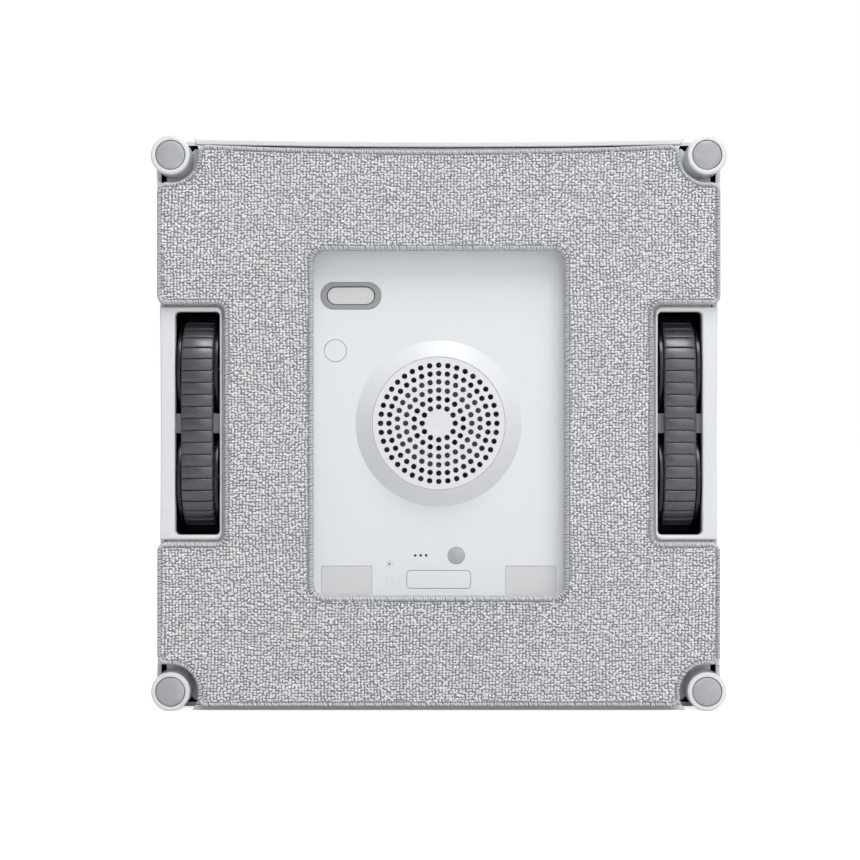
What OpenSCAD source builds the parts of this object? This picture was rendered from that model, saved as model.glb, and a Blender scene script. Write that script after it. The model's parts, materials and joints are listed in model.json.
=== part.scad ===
// Window cleaning robot that clings to the glass by suction and drives on two tracks.
// Each piece is drawn face up: x to the right, y up the glass, z towards the glass.
// A depth is counted from the cleaning pad's face into the body, so z is minus the depth.
// stand() then sets the robot upright on its bottom edge, with the pad towards -Y.

/* [Body] */
// Width over the corner rollers
body_w = 250; // [244:1:262]
// Height over the corner rollers
body_h = 250; // [244:1:262]
// Depth from the pad's face to the back of the shell
body_d = 72; // [70:1:84]
// Wall of the outer shell
shell_wall = 2.4; // [1.8:0.2:3]
// Rounding between the shell's sides and its back
edge_r = 20; // [14:1:22]
// Corner radius of the shell where its sides end
corner_r = 28; // [26:1:34]
// How far each side curves in between its corners
side_sag = 2.1; // [0.5:0.1:3]
// How far the top curves in between its corners
top_sag = 1.3; // [0.5:0.1:2]
// How much narrower the shell is at its front rim, each side
side_lean = 1.9; // [1:0.1:2.4]
// How much lower the top is at the front rim
top_lean = 0.9; // [0.2:0.1:1.4]

/* [Corner rollers] */
// Radius of a corner roller
roller_r = 8.5; // [8:0.1:9]
// Length of a corner roller
roller_len = 15; // [13:0.5:17]
// Wall of a corner roller
roller_wall = 2; // [1.6:0.1:2.4]
// Depth of the roller's front face
roller_front = 1; // [0.6:0.1:1.6]
// Free space between a roller and its notch
notch_gap = 3.7; // [3:0.1:4.2]
// Travel of the edge sensor's plunger
plunger_travel = 2; // [1:0.1:2.4]

/* [Cleaning pad] */
// Thickness of the microfibre cloth
cloth_thick = 4; // [3:0.2:4.6]
// Thickness of the pad's backing
backing_thick = 1; // [0.8:0.1:1.4]
// Width of the window in the pad
window_w = 109; // [104:1:112]
// Height of the window in the pad
window_h = 150; // [144:1:152]
// Corner radius of the window
window_r = 5; // [3:0.5:8]
// Height of the cut-out beside each track
cutout_h = 103; // [102:0.5:106]
// Radius of the pad's edge round a corner roller
pad_notch_r = 11.8; // [11:0.1:12.6]

/* [Suction inlet] */
// Depth of the centre panel's face
panel_depth = 10; // [9.6:0.1:11]
// Thickness of the centre panel
panel_wall = 2.5; // [2:0.1:3]
// Radius of the inlet cone on the panel
cone_base_r = 36.5; // [35:0.5:38]
// Radius of the inlet cone's flat face
cone_face_r = 29.25; // [29:0.25:31]
// Height of the inlet cone above the panel
cone_height = 5.5; // [4:0.1:6]
// Diameter of a hole in the inlet grille
grille_hole = 2.4; // [1.6:0.1:2.6]
// Radius of the innermost ring of holes
grille_first_r = 7.2; // [6.8:0.1:7.6]
// Spacing between rings of holes
grille_pitch = 3.63; // [3.4:0.01:3.7]

/* [Tracks] */
// Width of a track belt
belt_w = 14; // [12:0.5:14.5]
// Outer radius of the belt round a wheel
belt_r = 22; // [21:0.2:22.4]
// Thickness of the belt with its blocks
belt_thick = 3; // [2.6:0.1:3.4]
// Distance between the two wheels of a track
wheel_spacing = 48; // [48:0.5:50]
// Blocks on each belt
block_count = 45; // [40:1:48]
// Depth of the belt's front face behind the pad's face
belt_front = 1; // [0.6:0.1:1.4]
// Width of the window that a track looks out of
track_window_w = 19.4; // [19:0.1:20]
// Height of the window that a track looks out of
track_window_h = 97.2; // [96:0.2:98]

/* [Track gears] */
// Size of the gear teeth, as pitch diameter per tooth
tooth_size = 0.6; // [0.56:0.01:0.62]
// Teeth on the gear of the drive axle
gear_teeth = 45; // [42:1:46]
// Teeth on the motor's pinion
pinion_teeth = 15; // [14:1:16]
// Width of the gears
gear_face = 5; // [4:0.5:6]

/* [Hidden] */
$fn = 96;

shell_white = "#f2f3f5";
panel_white = "#e6e9ee";
cloth_grey = "#c3c5c8";
tread_grey = "#53565c";
case_black = "#1d1e20";
part_grey = "#9fa1a4";
soft_grey = "#d4d6d9";
dark_grey = "#3a3c40";
steel = "#b9bcc0";
brass = "#c9a75a";
board_green = "#2f6b4a";
tank_blue = "#b9cbd8";
cell_blue = "#3f5f8a";

// Clearances that many pieces share
cut_over = 1;
move_gap = 0.3;
seat_gap = 0.1;
run_fit = 0.05;
press_gap = 0.02;

half_w = body_w/2;
half_h = body_h/2;
pad_thick = cloth_thick + backing_thick;
rim_depth = pad_thick + move_gap;

// Corner rollers, their posts and the edge sensors
roller_x = half_w - roller_r;
roller_y = half_h - roller_r;
roller_round = 0.8;
roller_end_gap = 0.3;
notch_r = roller_r + notch_gap;
notch_wall = 2;
floor_depth = roller_front + roller_len + roller_end_gap;
floor_wall = 2.2;
ear_depth = floor_depth + floor_wall;
post_r = roller_r - roller_wall - run_fit;
plunger_front = 0.5;
plunger_head = 2;
plunger_dome = 0.4;
plunger_side_gap = 0.25;
plunger_r = roller_r - roller_wall - plunger_side_gap;
post_front = plunger_front + plunger_head + plunger_travel + move_gap;
stem_r = 3;
stem_end = 12;
stem_bore_end = 15;
post_cup_wall = 1.4;

// Outline of the shell
corner_steps = 6;
side_steps = 6;
ring_steps = 4;
round_steps = 6;
least_r = 1;
straight_end = body_d - edge_r;

// Chassis
chassis_wall = 2.5;
chassis_front = rim_depth;
chassis_back = chassis_front + chassis_wall;
groove_w = 2.6;
ledge_w = 8;
ledge_thick = 2.2;
well_wall = 2;
well_gap = 1.4;
panel_lap = 3;

// Tracks
track_inset = 20;
track_x = half_w - track_inset;
axle_depth = belt_front + belt_r;
wheel_y = wheel_spacing/2;
belt_inner_r = belt_r - belt_thick;
block_depth = 1.5;
block_bevel = 1.4;
groove_width = 0.9;
track_window_r = 2;
land_front = 3;
land_side = 1.6;
case_wall = 1.5;
case_gap = 0.4;
case_in_w = track_window_w + case_gap;
case_in_h = track_window_h + case_gap;
case_half = case_in_w/2 + case_wall;
case_floor_gap = 2;
case_in_back = axle_depth + belt_r + case_floor_gap;
case_back = case_in_back + case_wall;
flange_thick = 1.5;
flange_over = 1.6;
wheel_r = belt_inner_r - move_gap;
flange_r = belt_inner_r + flange_over;
wheel_half = belt_w/2 + move_gap;
web_thick = 3;
hub_r = 6;
rim_thick = 2.4;
wheel_holes = 6;
wheel_hole_r = 2.6;
axle_r = 2.5;
bridge_half = 4.35;
bridge_front = chassis_back + seat_gap;
bridge_step = 14.6;
bridge_back = 38;
bridge_stem_half = 2.6;

// Gears and motors of the tracks
pressure_angle = 20;
addendum = 0.9*tooth_size;
dedendum = 1.2*tooth_size;
backlash = 0.2;
flank_steps = 3;
gear_r = tooth_size*gear_teeth/2;
pinion_r = tooth_size*pinion_teeth/2;
gear_space = gear_r + pinion_r;
mesh_angle = -35;
gear_start = case_half + move_gap;
gear_end = gear_start + gear_face;
gear_hub_r = 5;
gear_web = 3;
plate_gap = 1;
plate_start = gear_end + plate_gap;
plate_thick = 2;
plate_end = plate_start + plate_thick;
plate_margin = 4;
standoff_r = 2.4;
motor_r = 11;
motor_space = 16.2;
motor_nose_r = 4;
motor_shaft_r = 1;
pinion_y = -wheel_y + gear_space*cos(mesh_angle);
pinion_depth = axle_depth - gear_space*sin(mesh_angle);

// Centre panel and suction
panel_back = panel_depth + panel_wall;
inlet_face = panel_depth - cone_height;
cone_round = 0.5;
cone_wall = 2;
grille_seat = 0.35;
grille_r = cone_face_r - grille_seat;
grille_thick = 2;
grille_rest = 1.2;
grille_counts = [12, 18, 24, 30, 36, 40];
panel_hole_r = cone_base_r - 4.5*cone_round;
gasket_thick = 1.5;
gasket_w = 3;
fan_front = panel_back + gasket_thick;
fan_wall = 2;
fan_r = cone_base_r + fan_wall;
motor_len = track_x - plate_end - fan_r - motor_space;
impeller_gap = 1.4;
impeller_front = fan_front + impeller_gap;
impeller_h = 12;
impeller_r = fan_r - fan_wall - 2*impeller_gap;
impeller_back = impeller_front + impeller_h;
impeller_plate = 1.2;
shroud_in_r = 13;
shroud_out_r = 19.5;
blade_thick = 1.2;
blade_count = 11;
blade_bend_r = 26;
blade_root_r = 12;
impeller_hub_r = 6;
fan_shaft_r = 1.5;
fan_chamber = 15;
fan_floor = impeller_back + fan_chamber;
fan_back = fan_floor + fan_wall;
fan_motor_r = 14;
fan_motor_gap = 1.2;
fan_vent_count = 8;
fan_vent_r = 3.6;

// Back of the shell
back_inside = body_d - shell_wall;
exhaust_r = 33;
exhaust_lip = 2.5;
exhaust_slots = 30;
slot_w = 2.2;
slot_in_r = 13;
slot_out_r = 28;
slot_skew = 24;
button_y = 0.496*half_h;
button_r = 9;
button_travel = 0.8;
button_thick = 2.4;
ring_w = 1.8;
ring_gap = 0.4;
button_stem_r = 2.2;
switch_tip = 3.2;
tip_gap = 0.2;
board_w = 110;
board_h = 66;
board_thick = 1.6;
board_y = 0.6*half_h;
board_gap = 10;
board_back = back_inside - board_gap;
board_front = board_back - board_thick;
board_post_r = 3;
board_post_in = 5;
inlet_x = -38;
inlet_y = 0.76*half_h;
inlet_r = 6;
inlet_bore_r = 3.25;
inlet_bore_len = 6;
inlet_inner_r = 2.9;
inlet_pin_r = 0.9;
filler_x = 45;
filler_y = -0.76*half_h;
filler_head_r = 10;
filler_head = 2.2;
filler_stem_r = 6.5;
filler_stem = 12;
filler_grip_w = 2;
filler_grip_len = 13;
neck_r = 9;
anchor_y = 0.72*half_h;
anchor_x = 38;
anchor_r = 12;
anchor_depth = 10.2;
anchor_wall = 1.6;
anchor_lip = 2;
anchor_lip_thick = 0.8;
anchor_bar_r = 1.8;
nozzle_y = 0.5*half_h;
nozzle_depth = 46;
nozzle_r = 3.2;
nozzle_flange_r = 4.8;
nozzle_flange = 1.2;
nozzle_body = 10;
nozzle_hole_r = 0.7;
nozzle_cone_r = 2.2;
nozzle_x = half_w - side_sag - 0.5*side_lean;

// Screws between the chassis and the shell
screw_x = 0.64*half_w;
screw_y = 0.77*half_h;
screw_mid_y = 45;
screw_r = 1.4;
screw_head_r = 2.8;
screw_head = 1.6;
screw_sink = 1.8;
screw_len = 14;
boss_r = 4;
boss_front = chassis_back + 0.4*cut_over;

// Battery, tank and pump behind the chassis
cell_r = 9.2;
cell_len = 66;
cell_gap = 0.4;
pack_edge = 6;
pack_y = half_h - pack_edge - 2*cell_r - cell_gap/2;
pack_rib_w = 3;
pack_rib_x = 40;
wrap_wall = 0.4;
tank_w = 136;
tank_edge = 7;
tank_space = 2.6;
tank_h = half_h - tank_edge - window_h/2 - well_gap - panel_lap - tank_space;
tank_d = 40;
tank_r = 5;
tank_wall = 1.6;
tank_y = tank_edge + tank_h/2 - half_h;
tank_front = chassis_back + move_gap + ledge_thick;
pump_r = 8.5;
pump_len = 34;
pump_x = -40;
pump_head_r = 6;
pump_head = 8;

// Pieces on the centre panel
switch_edge_x = 16;
switch_edge_y = 19;
switch_x = switch_edge_x - window_w/2;
switch_y = window_h/2 - switch_edge_y;
bezel_w = 26.5;
bezel_h = 11.8;
bezel_wall = 1.6;
bezel_depth = 7.8;
pack_front = panel_depth + bezel_depth + move_gap;
bezel_lip = 0.25;
switch_w = 20.6;
switch_h = 7.6;
switch_sink = 0.8;
switch_travel = 1.2;
switch_len = 3.4;
cover_edge_x = 9.2;
cover_edge_y = 43.1;
cover_x = cover_edge_x - window_w/2;
cover_y = window_h/2 - cover_edge_y;
cover_r = 4.75;
cover_thick = 1.2;
line_gap = 0.2;
hatch_x = 0;
hatch_edge = 6.55;
hatch_y = hatch_edge - window_h/2;
hatch_w = 27.9;
hatch_h = 7.7;
hatch_r = 1.6;
plug_x = 7.7;
plug_edge = 17.05;
plug_y = plug_edge - window_h/2;
plug_r = 3.7;
plug_dome = 0.3;
plug_stem_r = 2.4;
plug_stem = 3;
dots_x = -7.9;
dots_y = plug_y;
dot_pitch = 2.4;
dot_r = 0.55;
reset_x = -21.6;
reset_edge = 13.35;
reset_y = reset_edge - window_h/2;
reset_r = 0.4;
mark_r = 1.4;
mark_w = 0.3;
mark_space = 6.65;
patch_w = 22;
patch_h = 12.4;
patch_edge = 3.1;
patch_thick = 0.6;
patch_x = window_w/2 - patch_w/2 - patch_edge;
patch_y = -window_h/2 + patch_h/2;
field_edge_x = 12.5;
field_edge_y = 21;
field_x = window_w/2 - field_edge_x;
field_y = window_h/2 - field_edge_y;
field_w = 21;
field_h = 33;
field_sink = 0.25;

// Cleaning pad
pad_side_inset = 2.6;
pad_top_inset = 3.9;
pad_bottom_inset = 1.9;
pad_top_sag = 2.4;
pad_end_r = 4;
pad_cut_r = 3;
pad_cut_gap = 1.4;
notch_steps = 10;
end_steps = 4;
cutout_in_x = track_x - track_window_w/2 - pad_cut_gap;

// Hook tape on the chassis
hook_w = 62;
hook_h = 12;
hook_r = 2;
hook_thick = 0.8;
hook_front = pad_thick + seat_gap;
hook_x = 0.42*half_w;
hook_y = 0.86*half_h;
side_hook_w = 11;
side_hook_h = 60;
side_hook_x = (window_w/2 + cutout_in_x)/2;
screw_mid_x = side_hook_x;

// Placing helpers

module stand()
    translate([0, -body_d/2, half_h]) rotate([90, 0, 0]) children();

// A plate between two depths
module slab(near, far)
    translate([0, 0, -far]) linear_extrude(far - near) children();

// Puts a piece drawn in wheel coordinates on the right track: its x runs up the
// glass, its y towards the glass and its z across the track, out to the right
module on_axle(y)
    translate([track_x, y, -axle_depth]) rotate([90, 0, 90]) children();

// The right track's pieces, or their mirror image on the left
module on_side(side)
    if (side < 0) mirror([1, 0, 0]) children();
    else children();

module round_rect(w, h, r) {
    square([w - 2*r, h], center = true);
    square([w, h - 2*r], center = true);
    for (x = [-1, 1], y = [-1, 1])
        translate([x*(w/2 - r), y*(h/2 - r)]) circle(r);
}

module stadium(w, h) {
    square([w - h, h], center = true);
    for (x = [-1, 1]) translate([x*(w - h)/2, 0]) circle(h/2);
}

// Outline of the body at one depth, with curved-in sides and top

function mix(a, b, t) = a + (b - a)*t;
function ease(t) = t*t*(3 - 2*t);
function clamp(t) = min(1, max(0, t));

function corner(c, r, start) = [for (i = [0:corner_steps])
    let (a = start + 90*i/corner_steps) c + r*[cos(a), sin(a)]];

function side(p, q, sag) = [for (i = [1:side_steps - 1])
    let (t = i/side_steps, m = q - p)
    p + m*t - 4*sag*t*(1 - t)*[m[1], -m[0]]/norm(m)];

function outline(x, top, bottom, r, sag_x, sag_y) = concat(
    corner([x - r, r - bottom], r, -90),
    side([x, r - bottom], [x, top - r], sag_x),
    corner([x - r, top - r], r, 0),
    side([x - r, top], [r - x, top], sag_y),
    corner([r - x, top - r], r, 90),
    side([-x, top - r], [-x, r - bottom], sag_x),
    corner([r - x, r - bottom], r, 180),
    side([r - x, -bottom], [x - r, -bottom], 0));

// The body's outline at a depth, drawn in by an inset
function body_ring(depth, inset) =
    let (lean = 1 - clamp((depth - rim_depth)/(ear_depth - rim_depth)),
         swell = ease(clamp((depth - ear_depth)/(straight_end - ear_depth))))
    outline(half_w - side_lean*lean - side_sag*swell - inset,
        half_h - top_lean*lean - top_sag*swell - inset,
        half_h - inset,
        max(least_r, mix(roller_r, corner_r, swell) - inset),
        side_sag*(1 - swell), top_sag*(1 - swell));

function at_depth(ring, depth) = [for (p = ring) [p[0], p[1], -depth]];

// Outer shell

function side_depths() = concat([rim_depth],
    [for (i = [0:ring_steps]) mix(ear_depth, straight_end, i/ring_steps)]);

function skin(wall) = let (r = edge_r - wall) concat(
    [for (d = side_depths()) at_depth(body_ring(d, wall), d)],
    [for (i = [1:round_steps]) let (a = 90*i/round_steps)
        at_depth(body_ring(straight_end, wall + r*(1 - cos(a))), straight_end + r*sin(a))]);

// Two triangles that close the gap between four points
function quad(a, b, c, d) = [[a, b, c], [a, c, d]];

module shell_skin() {
    rings = concat(skin(0), skin(shell_wall));
    n = len(rings[0]);
    m = len(rings)/2;
    last = 2*m - 1;
    middle = len(rings)*n;
    polyhedron(points = concat([for (ring = rings) each ring],
            [[0, 0, -body_d], [0, 0, -back_inside]]),
        faces = [
            for (k = [0:m - 2], i = [0:n - 1]) let (j = (i + 1)%n)
                each quad(k*n + i, k*n + j, (k + 1)*n + j, (k + 1)*n + i),
            for (k = [m:last - 1], i = [0:n - 1]) let (j = (i + 1)%n)
                each quad((k + 1)*n + i, (k + 1)*n + j, k*n + j, k*n + i),
            for (i = [0:n - 1]) let (j = (i + 1)%n) each quad(i, m*n + i, m*n + j, j),
            for (i = [0:n - 1]) let (j = (i + 1)%n) [(m - 1)*n + i, (m - 1)*n + j, middle],
            for (i = [0:n - 1]) let (j = (i + 1)%n) [last*n + j, last*n + i, middle + 1]]);
}

function screw_places() = concat(
    [for (x = [-1, 1], y = [-1, 1]) [x*screw_x, y*screw_y]],
    [for (x = [-1, 1]) [x*screw_mid_x, screw_mid_y]]);

function board_places() = [for (x = [-1, 1], y = [-1, 1])
    [x*(board_w/2 - board_post_in), board_y + y*(board_h/2 - board_post_in)]];

module shell_posts() {
    for (p = screw_places()) translate(p) slab(boss_front, body_d - shell_wall/2) circle(boss_r);
    for (p = board_places()) translate(p) slab(board_back, body_d - shell_wall/2) circle(board_post_r);
}

module back_cuts() {
    far = body_d + cut_over;
    near = back_inside - cut_over;
    slab(near, far) circle(exhaust_r + seat_gap);
    translate([0, button_y]) slab(near, far) circle(button_r + ring_gap + ring_w + seat_gap);
    translate([inlet_x, inlet_y]) slab(near, far) circle(inlet_r + seat_gap);
    translate([filler_x, filler_y]) slab(near, far) circle(filler_head_r + move_gap);
    translate([anchor_x, anchor_y]) slab(near, far) circle(anchor_r + seat_gap);
}

module outer_shell() color(shell_white) stand() difference() {
    union() {
        shell_skin();
        shell_posts();
    }
    for (x = [-1, 1], y = [-1, 1]) translate([x*roller_x, y*roller_y])
        slab(-cut_over, floor_depth) circle(notch_r);
    for (p = screw_places()) translate(p)
        slab(boss_front - cut_over, boss_front + screw_len) circle(screw_r);
    back_cuts();
    for (x = [-1, 1]) translate([x*nozzle_x, nozzle_y, -nozzle_depth]) rotate([0, 90, 0])
        cylinder(h = nozzle_body, r = nozzle_r + seat_gap, center = true);
}

// Chassis, the white frame behind the pad

module chassis_outline(depth, inset)
    polygon(body_ring(depth, shell_wall + move_gap + inset));

module face_outline() {
    intersection() {
        chassis_outline(rim_depth, 0);
        translate([0, -groove_w]) chassis_outline(rim_depth, 0);
    }
}

module at_rollers()
    for (x = [-1, 1], y = [-1, 1]) translate([x*roller_x, y*roller_y]) children();

module at_tracks()
    for (x = [-1, 1]) translate([x*track_x, 0]) children();

module track_windows()
    at_tracks() round_rect(track_window_w, track_window_h, track_window_r);

module well_outline(margin)
    round_rect(window_w + 2*(well_gap + margin), window_h + 2*(well_gap + margin),
        window_r + well_gap + margin);

module hook_outlines(grow) {
    for (x = [-1, 1], y = [-1, 1]) translate([x*hook_x, y*hook_y])
        round_rect(hook_w + 2*grow, hook_h + 2*grow, hook_r + grow);
    for (x = [-1, 1]) translate([x*side_hook_x, 0])
        round_rect(side_hook_w + 2*grow, side_hook_h + 2*grow, hook_r + grow);
}

module land_outline(inset) intersection() {
    polygon(body_ring(rim_depth, inset));
    for (x = [-1, 1]) translate([x*(cutout_in_x + move_gap + half_w/2), 0])
        round_rect(half_w, cutout_h - land_side, pad_cut_r);
}

module chassis() color(shell_white) stand() difference() {
    union() {
        slab(chassis_front, chassis_back) difference() {
            face_outline();
            well_outline(0);
        }
        slab(chassis_back - cut_over, chassis_back + ledge_thick) difference() {
            chassis_outline(rim_depth, 0);
            chassis_outline(rim_depth, ledge_w);
        }
        slab(land_front, chassis_front + cut_over) land_outline(shell_wall + move_gap);
        slab(land_front, rim_depth - move_gap) land_outline(seat_gap);
        slab(chassis_front + cut_over, panel_depth) difference() {
            well_outline(well_wall);
            well_outline(0);
        }
        for (x = [-1, 1]) translate([x*pack_rib_x, (half_h + window_h/2)/2])
            slab(chassis_back - cut_over, pack_front - move_gap)
                square([pack_rib_w, half_h - window_h/2 - 2*ledge_w - 2*panel_lap], center = true);
        intersection() {
            slab(chassis_front, ear_depth) chassis_outline(rim_depth, 0);
            slab(chassis_front, ear_depth) at_rollers() circle(notch_r + notch_wall);
        }
    }
    slab(-cut_over, floor_depth) at_rollers() circle(notch_r);
    slab(0, ear_depth) track_windows();
    slab(hook_front - cut_over, hook_front + hook_thick) hook_outlines(seat_gap);
    for (p = screw_places()) translate(p) {
        slab(0, ear_depth) circle(screw_r + seat_gap);
        slab(0, chassis_front + screw_sink) circle(screw_head_r + seat_gap);
    }
    slab(chassis_back, ear_depth) at_tracks() square([2*case_half + 2*seat_gap,
        case_in_h + 2*case_wall + 2*seat_gap], center = true);
}

module hook_strips() color(soft_grey) stand()
    slab(hook_front, hook_front + hook_thick) hook_outlines(0);

module housing_screws() color(steel) stand()
    for (p = screw_places()) translate(p) difference() {
        union() {
            slab(chassis_front + screw_sink - screw_head, chassis_front + screw_sink)
                circle(screw_head_r);
            slab(chassis_front + screw_sink - press_gap, boss_front + screw_len - cut_over)
                circle(screw_r - press_gap);
        }
        slab(0, chassis_front + screw_sink - screw_head/2) {
            square([2*screw_r, screw_r/2], center = true);
            square([screw_r/2, 2*screw_r], center = true);
        }
    }

// Corner rollers with the edge sensors inside them

module roller_posts() color(soft_grey) stand() at_rollers() difference() {
    slab(post_front, floor_depth) circle(post_r);
    slab(0, stem_bore_end) circle(stem_r + run_fit);
}

module corner_roller(x, y) color(shell_white) stand()
    translate([x*roller_x, y*roller_y, -roller_front - roller_len]) rotate_extrude()
        polygon([[roller_r - roller_wall, 0], [roller_r - roller_round, 0],
            [roller_r, roller_round], [roller_r, roller_len - roller_round],
            [roller_r - roller_round/4, roller_len - roller_round/4],
            [roller_r - roller_round, roller_len], [roller_r - roller_wall, roller_len]]);

module edge_plunger(x, y) color(part_grey) stand()
    translate([x*roller_x, y*roller_y, -plunger_front]) rotate_extrude()
        polygon([[0, 0], [plunger_r/2, -plunger_dome/4], [plunger_r, -plunger_dome],
            [plunger_r, -plunger_head], [stem_r, -plunger_head],
            [stem_r, plunger_front - stem_end], [0, plunger_front - stem_end]]);

module top_left_roller() corner_roller(-1, 1);
module top_right_roller() corner_roller(1, 1);
module bottom_left_roller() corner_roller(-1, -1);
module bottom_right_roller() corner_roller(1, -1);
module top_left_plunger() edge_plunger(-1, 1);
module top_right_plunger() edge_plunger(1, 1);
module bottom_left_plunger() edge_plunger(-1, -1);
module bottom_right_plunger() edge_plunger(1, -1);

// Cleaning pad

pad_x = half_w - pad_side_inset;
pad_top = half_h - pad_top_inset;
pad_bottom = half_h - pad_bottom_inset;

function arc(c, r, from, to, steps) = [for (i = [0:steps])
    let (a = mix(from, to, i/steps)) c + r*[cos(a), sin(a)]];

// One corner of the pad, drawn for the top right: a round end, the hollow round
// the roller and another round end, counted against the clock from the right side
function pad_corner(x, top) =
    let (reach = pad_notch_r + pad_end_r,
         low = [x - pad_end_r, roller_y - sqrt(pow(reach, 2) - pow(x - pad_end_r - roller_x, 2))],
         high = [roller_x - sqrt(pow(reach, 2) - pow(top - pad_end_r - roller_y, 2)), top - pad_end_r],
         to_low = atan2(low[1] - roller_y, low[0] - roller_x),
         to_high = atan2(high[1] - roller_y, high[0] - roller_x))
    concat(arc(low, pad_end_r, 0, to_low + 180, end_steps),
        arc([roller_x, roller_y], pad_notch_r, to_low,
            to_high < 0 ? to_high : to_high - 360, notch_steps),
        arc(high, pad_end_r, to_high < 0 ? to_high + 180 : to_high - 180, 90, end_steps));

function flip(points, x, y) = [for (p = points) [x*p[0], y*p[1]]];
function back_to_front(points) = [for (i = [len(points) - 1:-1:0]) points[i]];

function pad_points() =
    let (up = pad_corner(pad_x, pad_top), down = pad_corner(pad_x, pad_bottom),
         up_left = back_to_front(flip(up, -1, 1)), a = up[len(up) - 1])
    concat(up, side(a, [-a[0], a[1]], pad_top_sag), up_left, flip(down, -1, -1),
        back_to_front(flip(down, 1, -1)));

module pad_outline() difference() {
    polygon(pad_points());
    round_rect(window_w, window_h, window_r);
    for (x = [-1, 1]) scale([x, 1]) {
        translate([cutout_in_x + pad_x/2, 0]) round_rect(pad_x, cutout_h, pad_cut_r);
    }
}

module pad_cloth() color(cloth_grey) stand() slab(0, cloth_thick) pad_outline();

module pad_backing() color(soft_grey) stand() slab(cloth_thick, pad_thick) pad_outline();

// Centre panel

module suction_panel() color(panel_white) stand() difference() {
    slab(panel_depth, panel_back) round_rect(window_w + 2*(well_gap + panel_lap),
        window_h + 2*(well_gap + panel_lap), window_r + panel_lap);
    slab(0, ear_depth) circle(panel_hole_r);
    translate([switch_x, switch_y]) slab(0, ear_depth)
        stadium(bezel_w + 2*seat_gap, bezel_h + 2*seat_gap);
    translate([cover_x, cover_y]) slab(0, panel_depth + cover_thick) circle(cover_r + line_gap);
    translate([hatch_x, hatch_y]) slab(0, panel_depth + cover_thick)
        round_rect(hatch_w + 2*line_gap, hatch_h + 2*line_gap, hatch_r + line_gap);
    translate([plug_x, plug_y]) {
        slab(0, panel_depth + cover_thick) circle(plug_r + seat_gap);
        slab(0, ear_depth) circle(plug_stem_r + seat_gap);
    }
    for (i = [-1:1]) translate([dots_x + i*dot_pitch, dots_y]) slab(0, ear_depth) circle(dot_r);
    translate([reset_x, reset_y]) slab(0, ear_depth) circle(reset_r);
    for (y = [0, mark_space]) translate([reset_x, reset_y - y])
        slab(0, panel_depth + mark_w) difference() {
            circle(mark_r);
            circle(mark_r - mark_w);
        }
    for (x = [-1, 1]) translate([x*patch_x, patch_y]) slab(0, panel_depth + patch_thick)
        square([patch_w + 2*seat_gap, patch_h + 2*seat_gap], center = true);
    translate([field_x, field_y]) slab(0, panel_depth + field_sink)
        square([field_w, field_h], center = true);
}

module switch_bezel() color(part_grey) stand() translate([switch_x, switch_y]) difference() {
    slab(panel_depth - bezel_lip, panel_depth + bezel_depth) stadium(bezel_w, bezel_h);
    slab(0, panel_depth + bezel_depth - bezel_wall)
        stadium(switch_w + 2*move_gap, switch_h + 2*move_gap);
}

module power_switch() color(soft_grey) stand() translate([switch_x, switch_y])
    slab(panel_depth + switch_sink - bezel_lip, panel_depth + switch_sink - bezel_lip + switch_len)
        stadium(switch_w, switch_h);

module service_hatch() color(panel_white) stand() translate([hatch_x, hatch_y])
    slab(panel_depth, panel_depth + cover_thick) round_rect(hatch_w, hatch_h, hatch_r);

module screw_cover() color(panel_white) stand() translate([cover_x, cover_y])
    slab(panel_depth, panel_depth + cover_thick) circle(cover_r);

module port_plug() color(part_grey) stand() translate([plug_x, plug_y, -panel_depth])
    rotate_extrude() polygon([[0, plug_dome], [plug_r/2, plug_dome*3/4], [plug_r, 0],
        [plug_r, -cover_thick], [plug_stem_r, -cover_thick], [plug_stem_r, -plug_stem],
        [0, -plug_stem]]);

module corner_pads() color(soft_grey) stand()
    for (x = [-1, 1]) translate([x*patch_x, patch_y])
        slab(panel_depth + patch_thick/4, panel_depth + patch_thick)
            square([patch_w, patch_h], center = true);

// Suction inlet, fan and exhaust

module suction_cone() color(shell_white) stand() translate([0, 0, -panel_depth])
    rotate_extrude() polygon([[cone_base_r, 0], [cone_face_r + cone_round, cone_height - cone_round],
        [cone_face_r, cone_height], [grille_r + seat_gap, cone_height],
        [grille_r + seat_gap, cone_height - grille_thick],
        [grille_r - grille_rest, cone_height - grille_thick],
        [grille_r - grille_rest, cone_height - grille_thick - cone_wall/2],
        [cone_base_r - 2*cone_wall, 0]]);

function ring_spots(i) = let (r = grille_first_r + i*grille_pitch, n = grille_counts[i])
    [for (k = [0:n - 1]) let (a = 90 + 360*k/n) r*[cos(a), sin(a)]];

module inlet_grille() color(shell_white) stand()
    slab(inlet_face, inlet_face + grille_thick) difference() {
        circle(grille_r);
        for (i = [0:len(grille_counts) - 1], p = ring_spots(i)) translate(p)
            circle(grille_hole/2, $fn = 24);
    }

module fan_gasket() color(dark_grey) stand() slab(panel_back, fan_front) difference() {
    circle(fan_r);
    circle(fan_r - gasket_w);
}

module fan_housing() color(dark_grey) stand() difference() {
    slab(fan_front, fan_back) circle(fan_r);
    slab(fan_front - cut_over, fan_floor) circle(fan_r - fan_wall);
    slab(fan_floor - cut_over, fan_back + cut_over) circle(fan_motor_r + press_gap);
    for (i = [0:fan_vent_count - 1]) rotate(360*i/fan_vent_count)
        translate([(fan_motor_r + fan_r - fan_wall)/2, 0])
            slab(fan_floor - cut_over, fan_back + cut_over) circle(2*fan_vent_r);
}

fan_motor_front = impeller_back + fan_motor_gap;
fan_motor_back = fan_back + 4*fan_wall;

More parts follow.
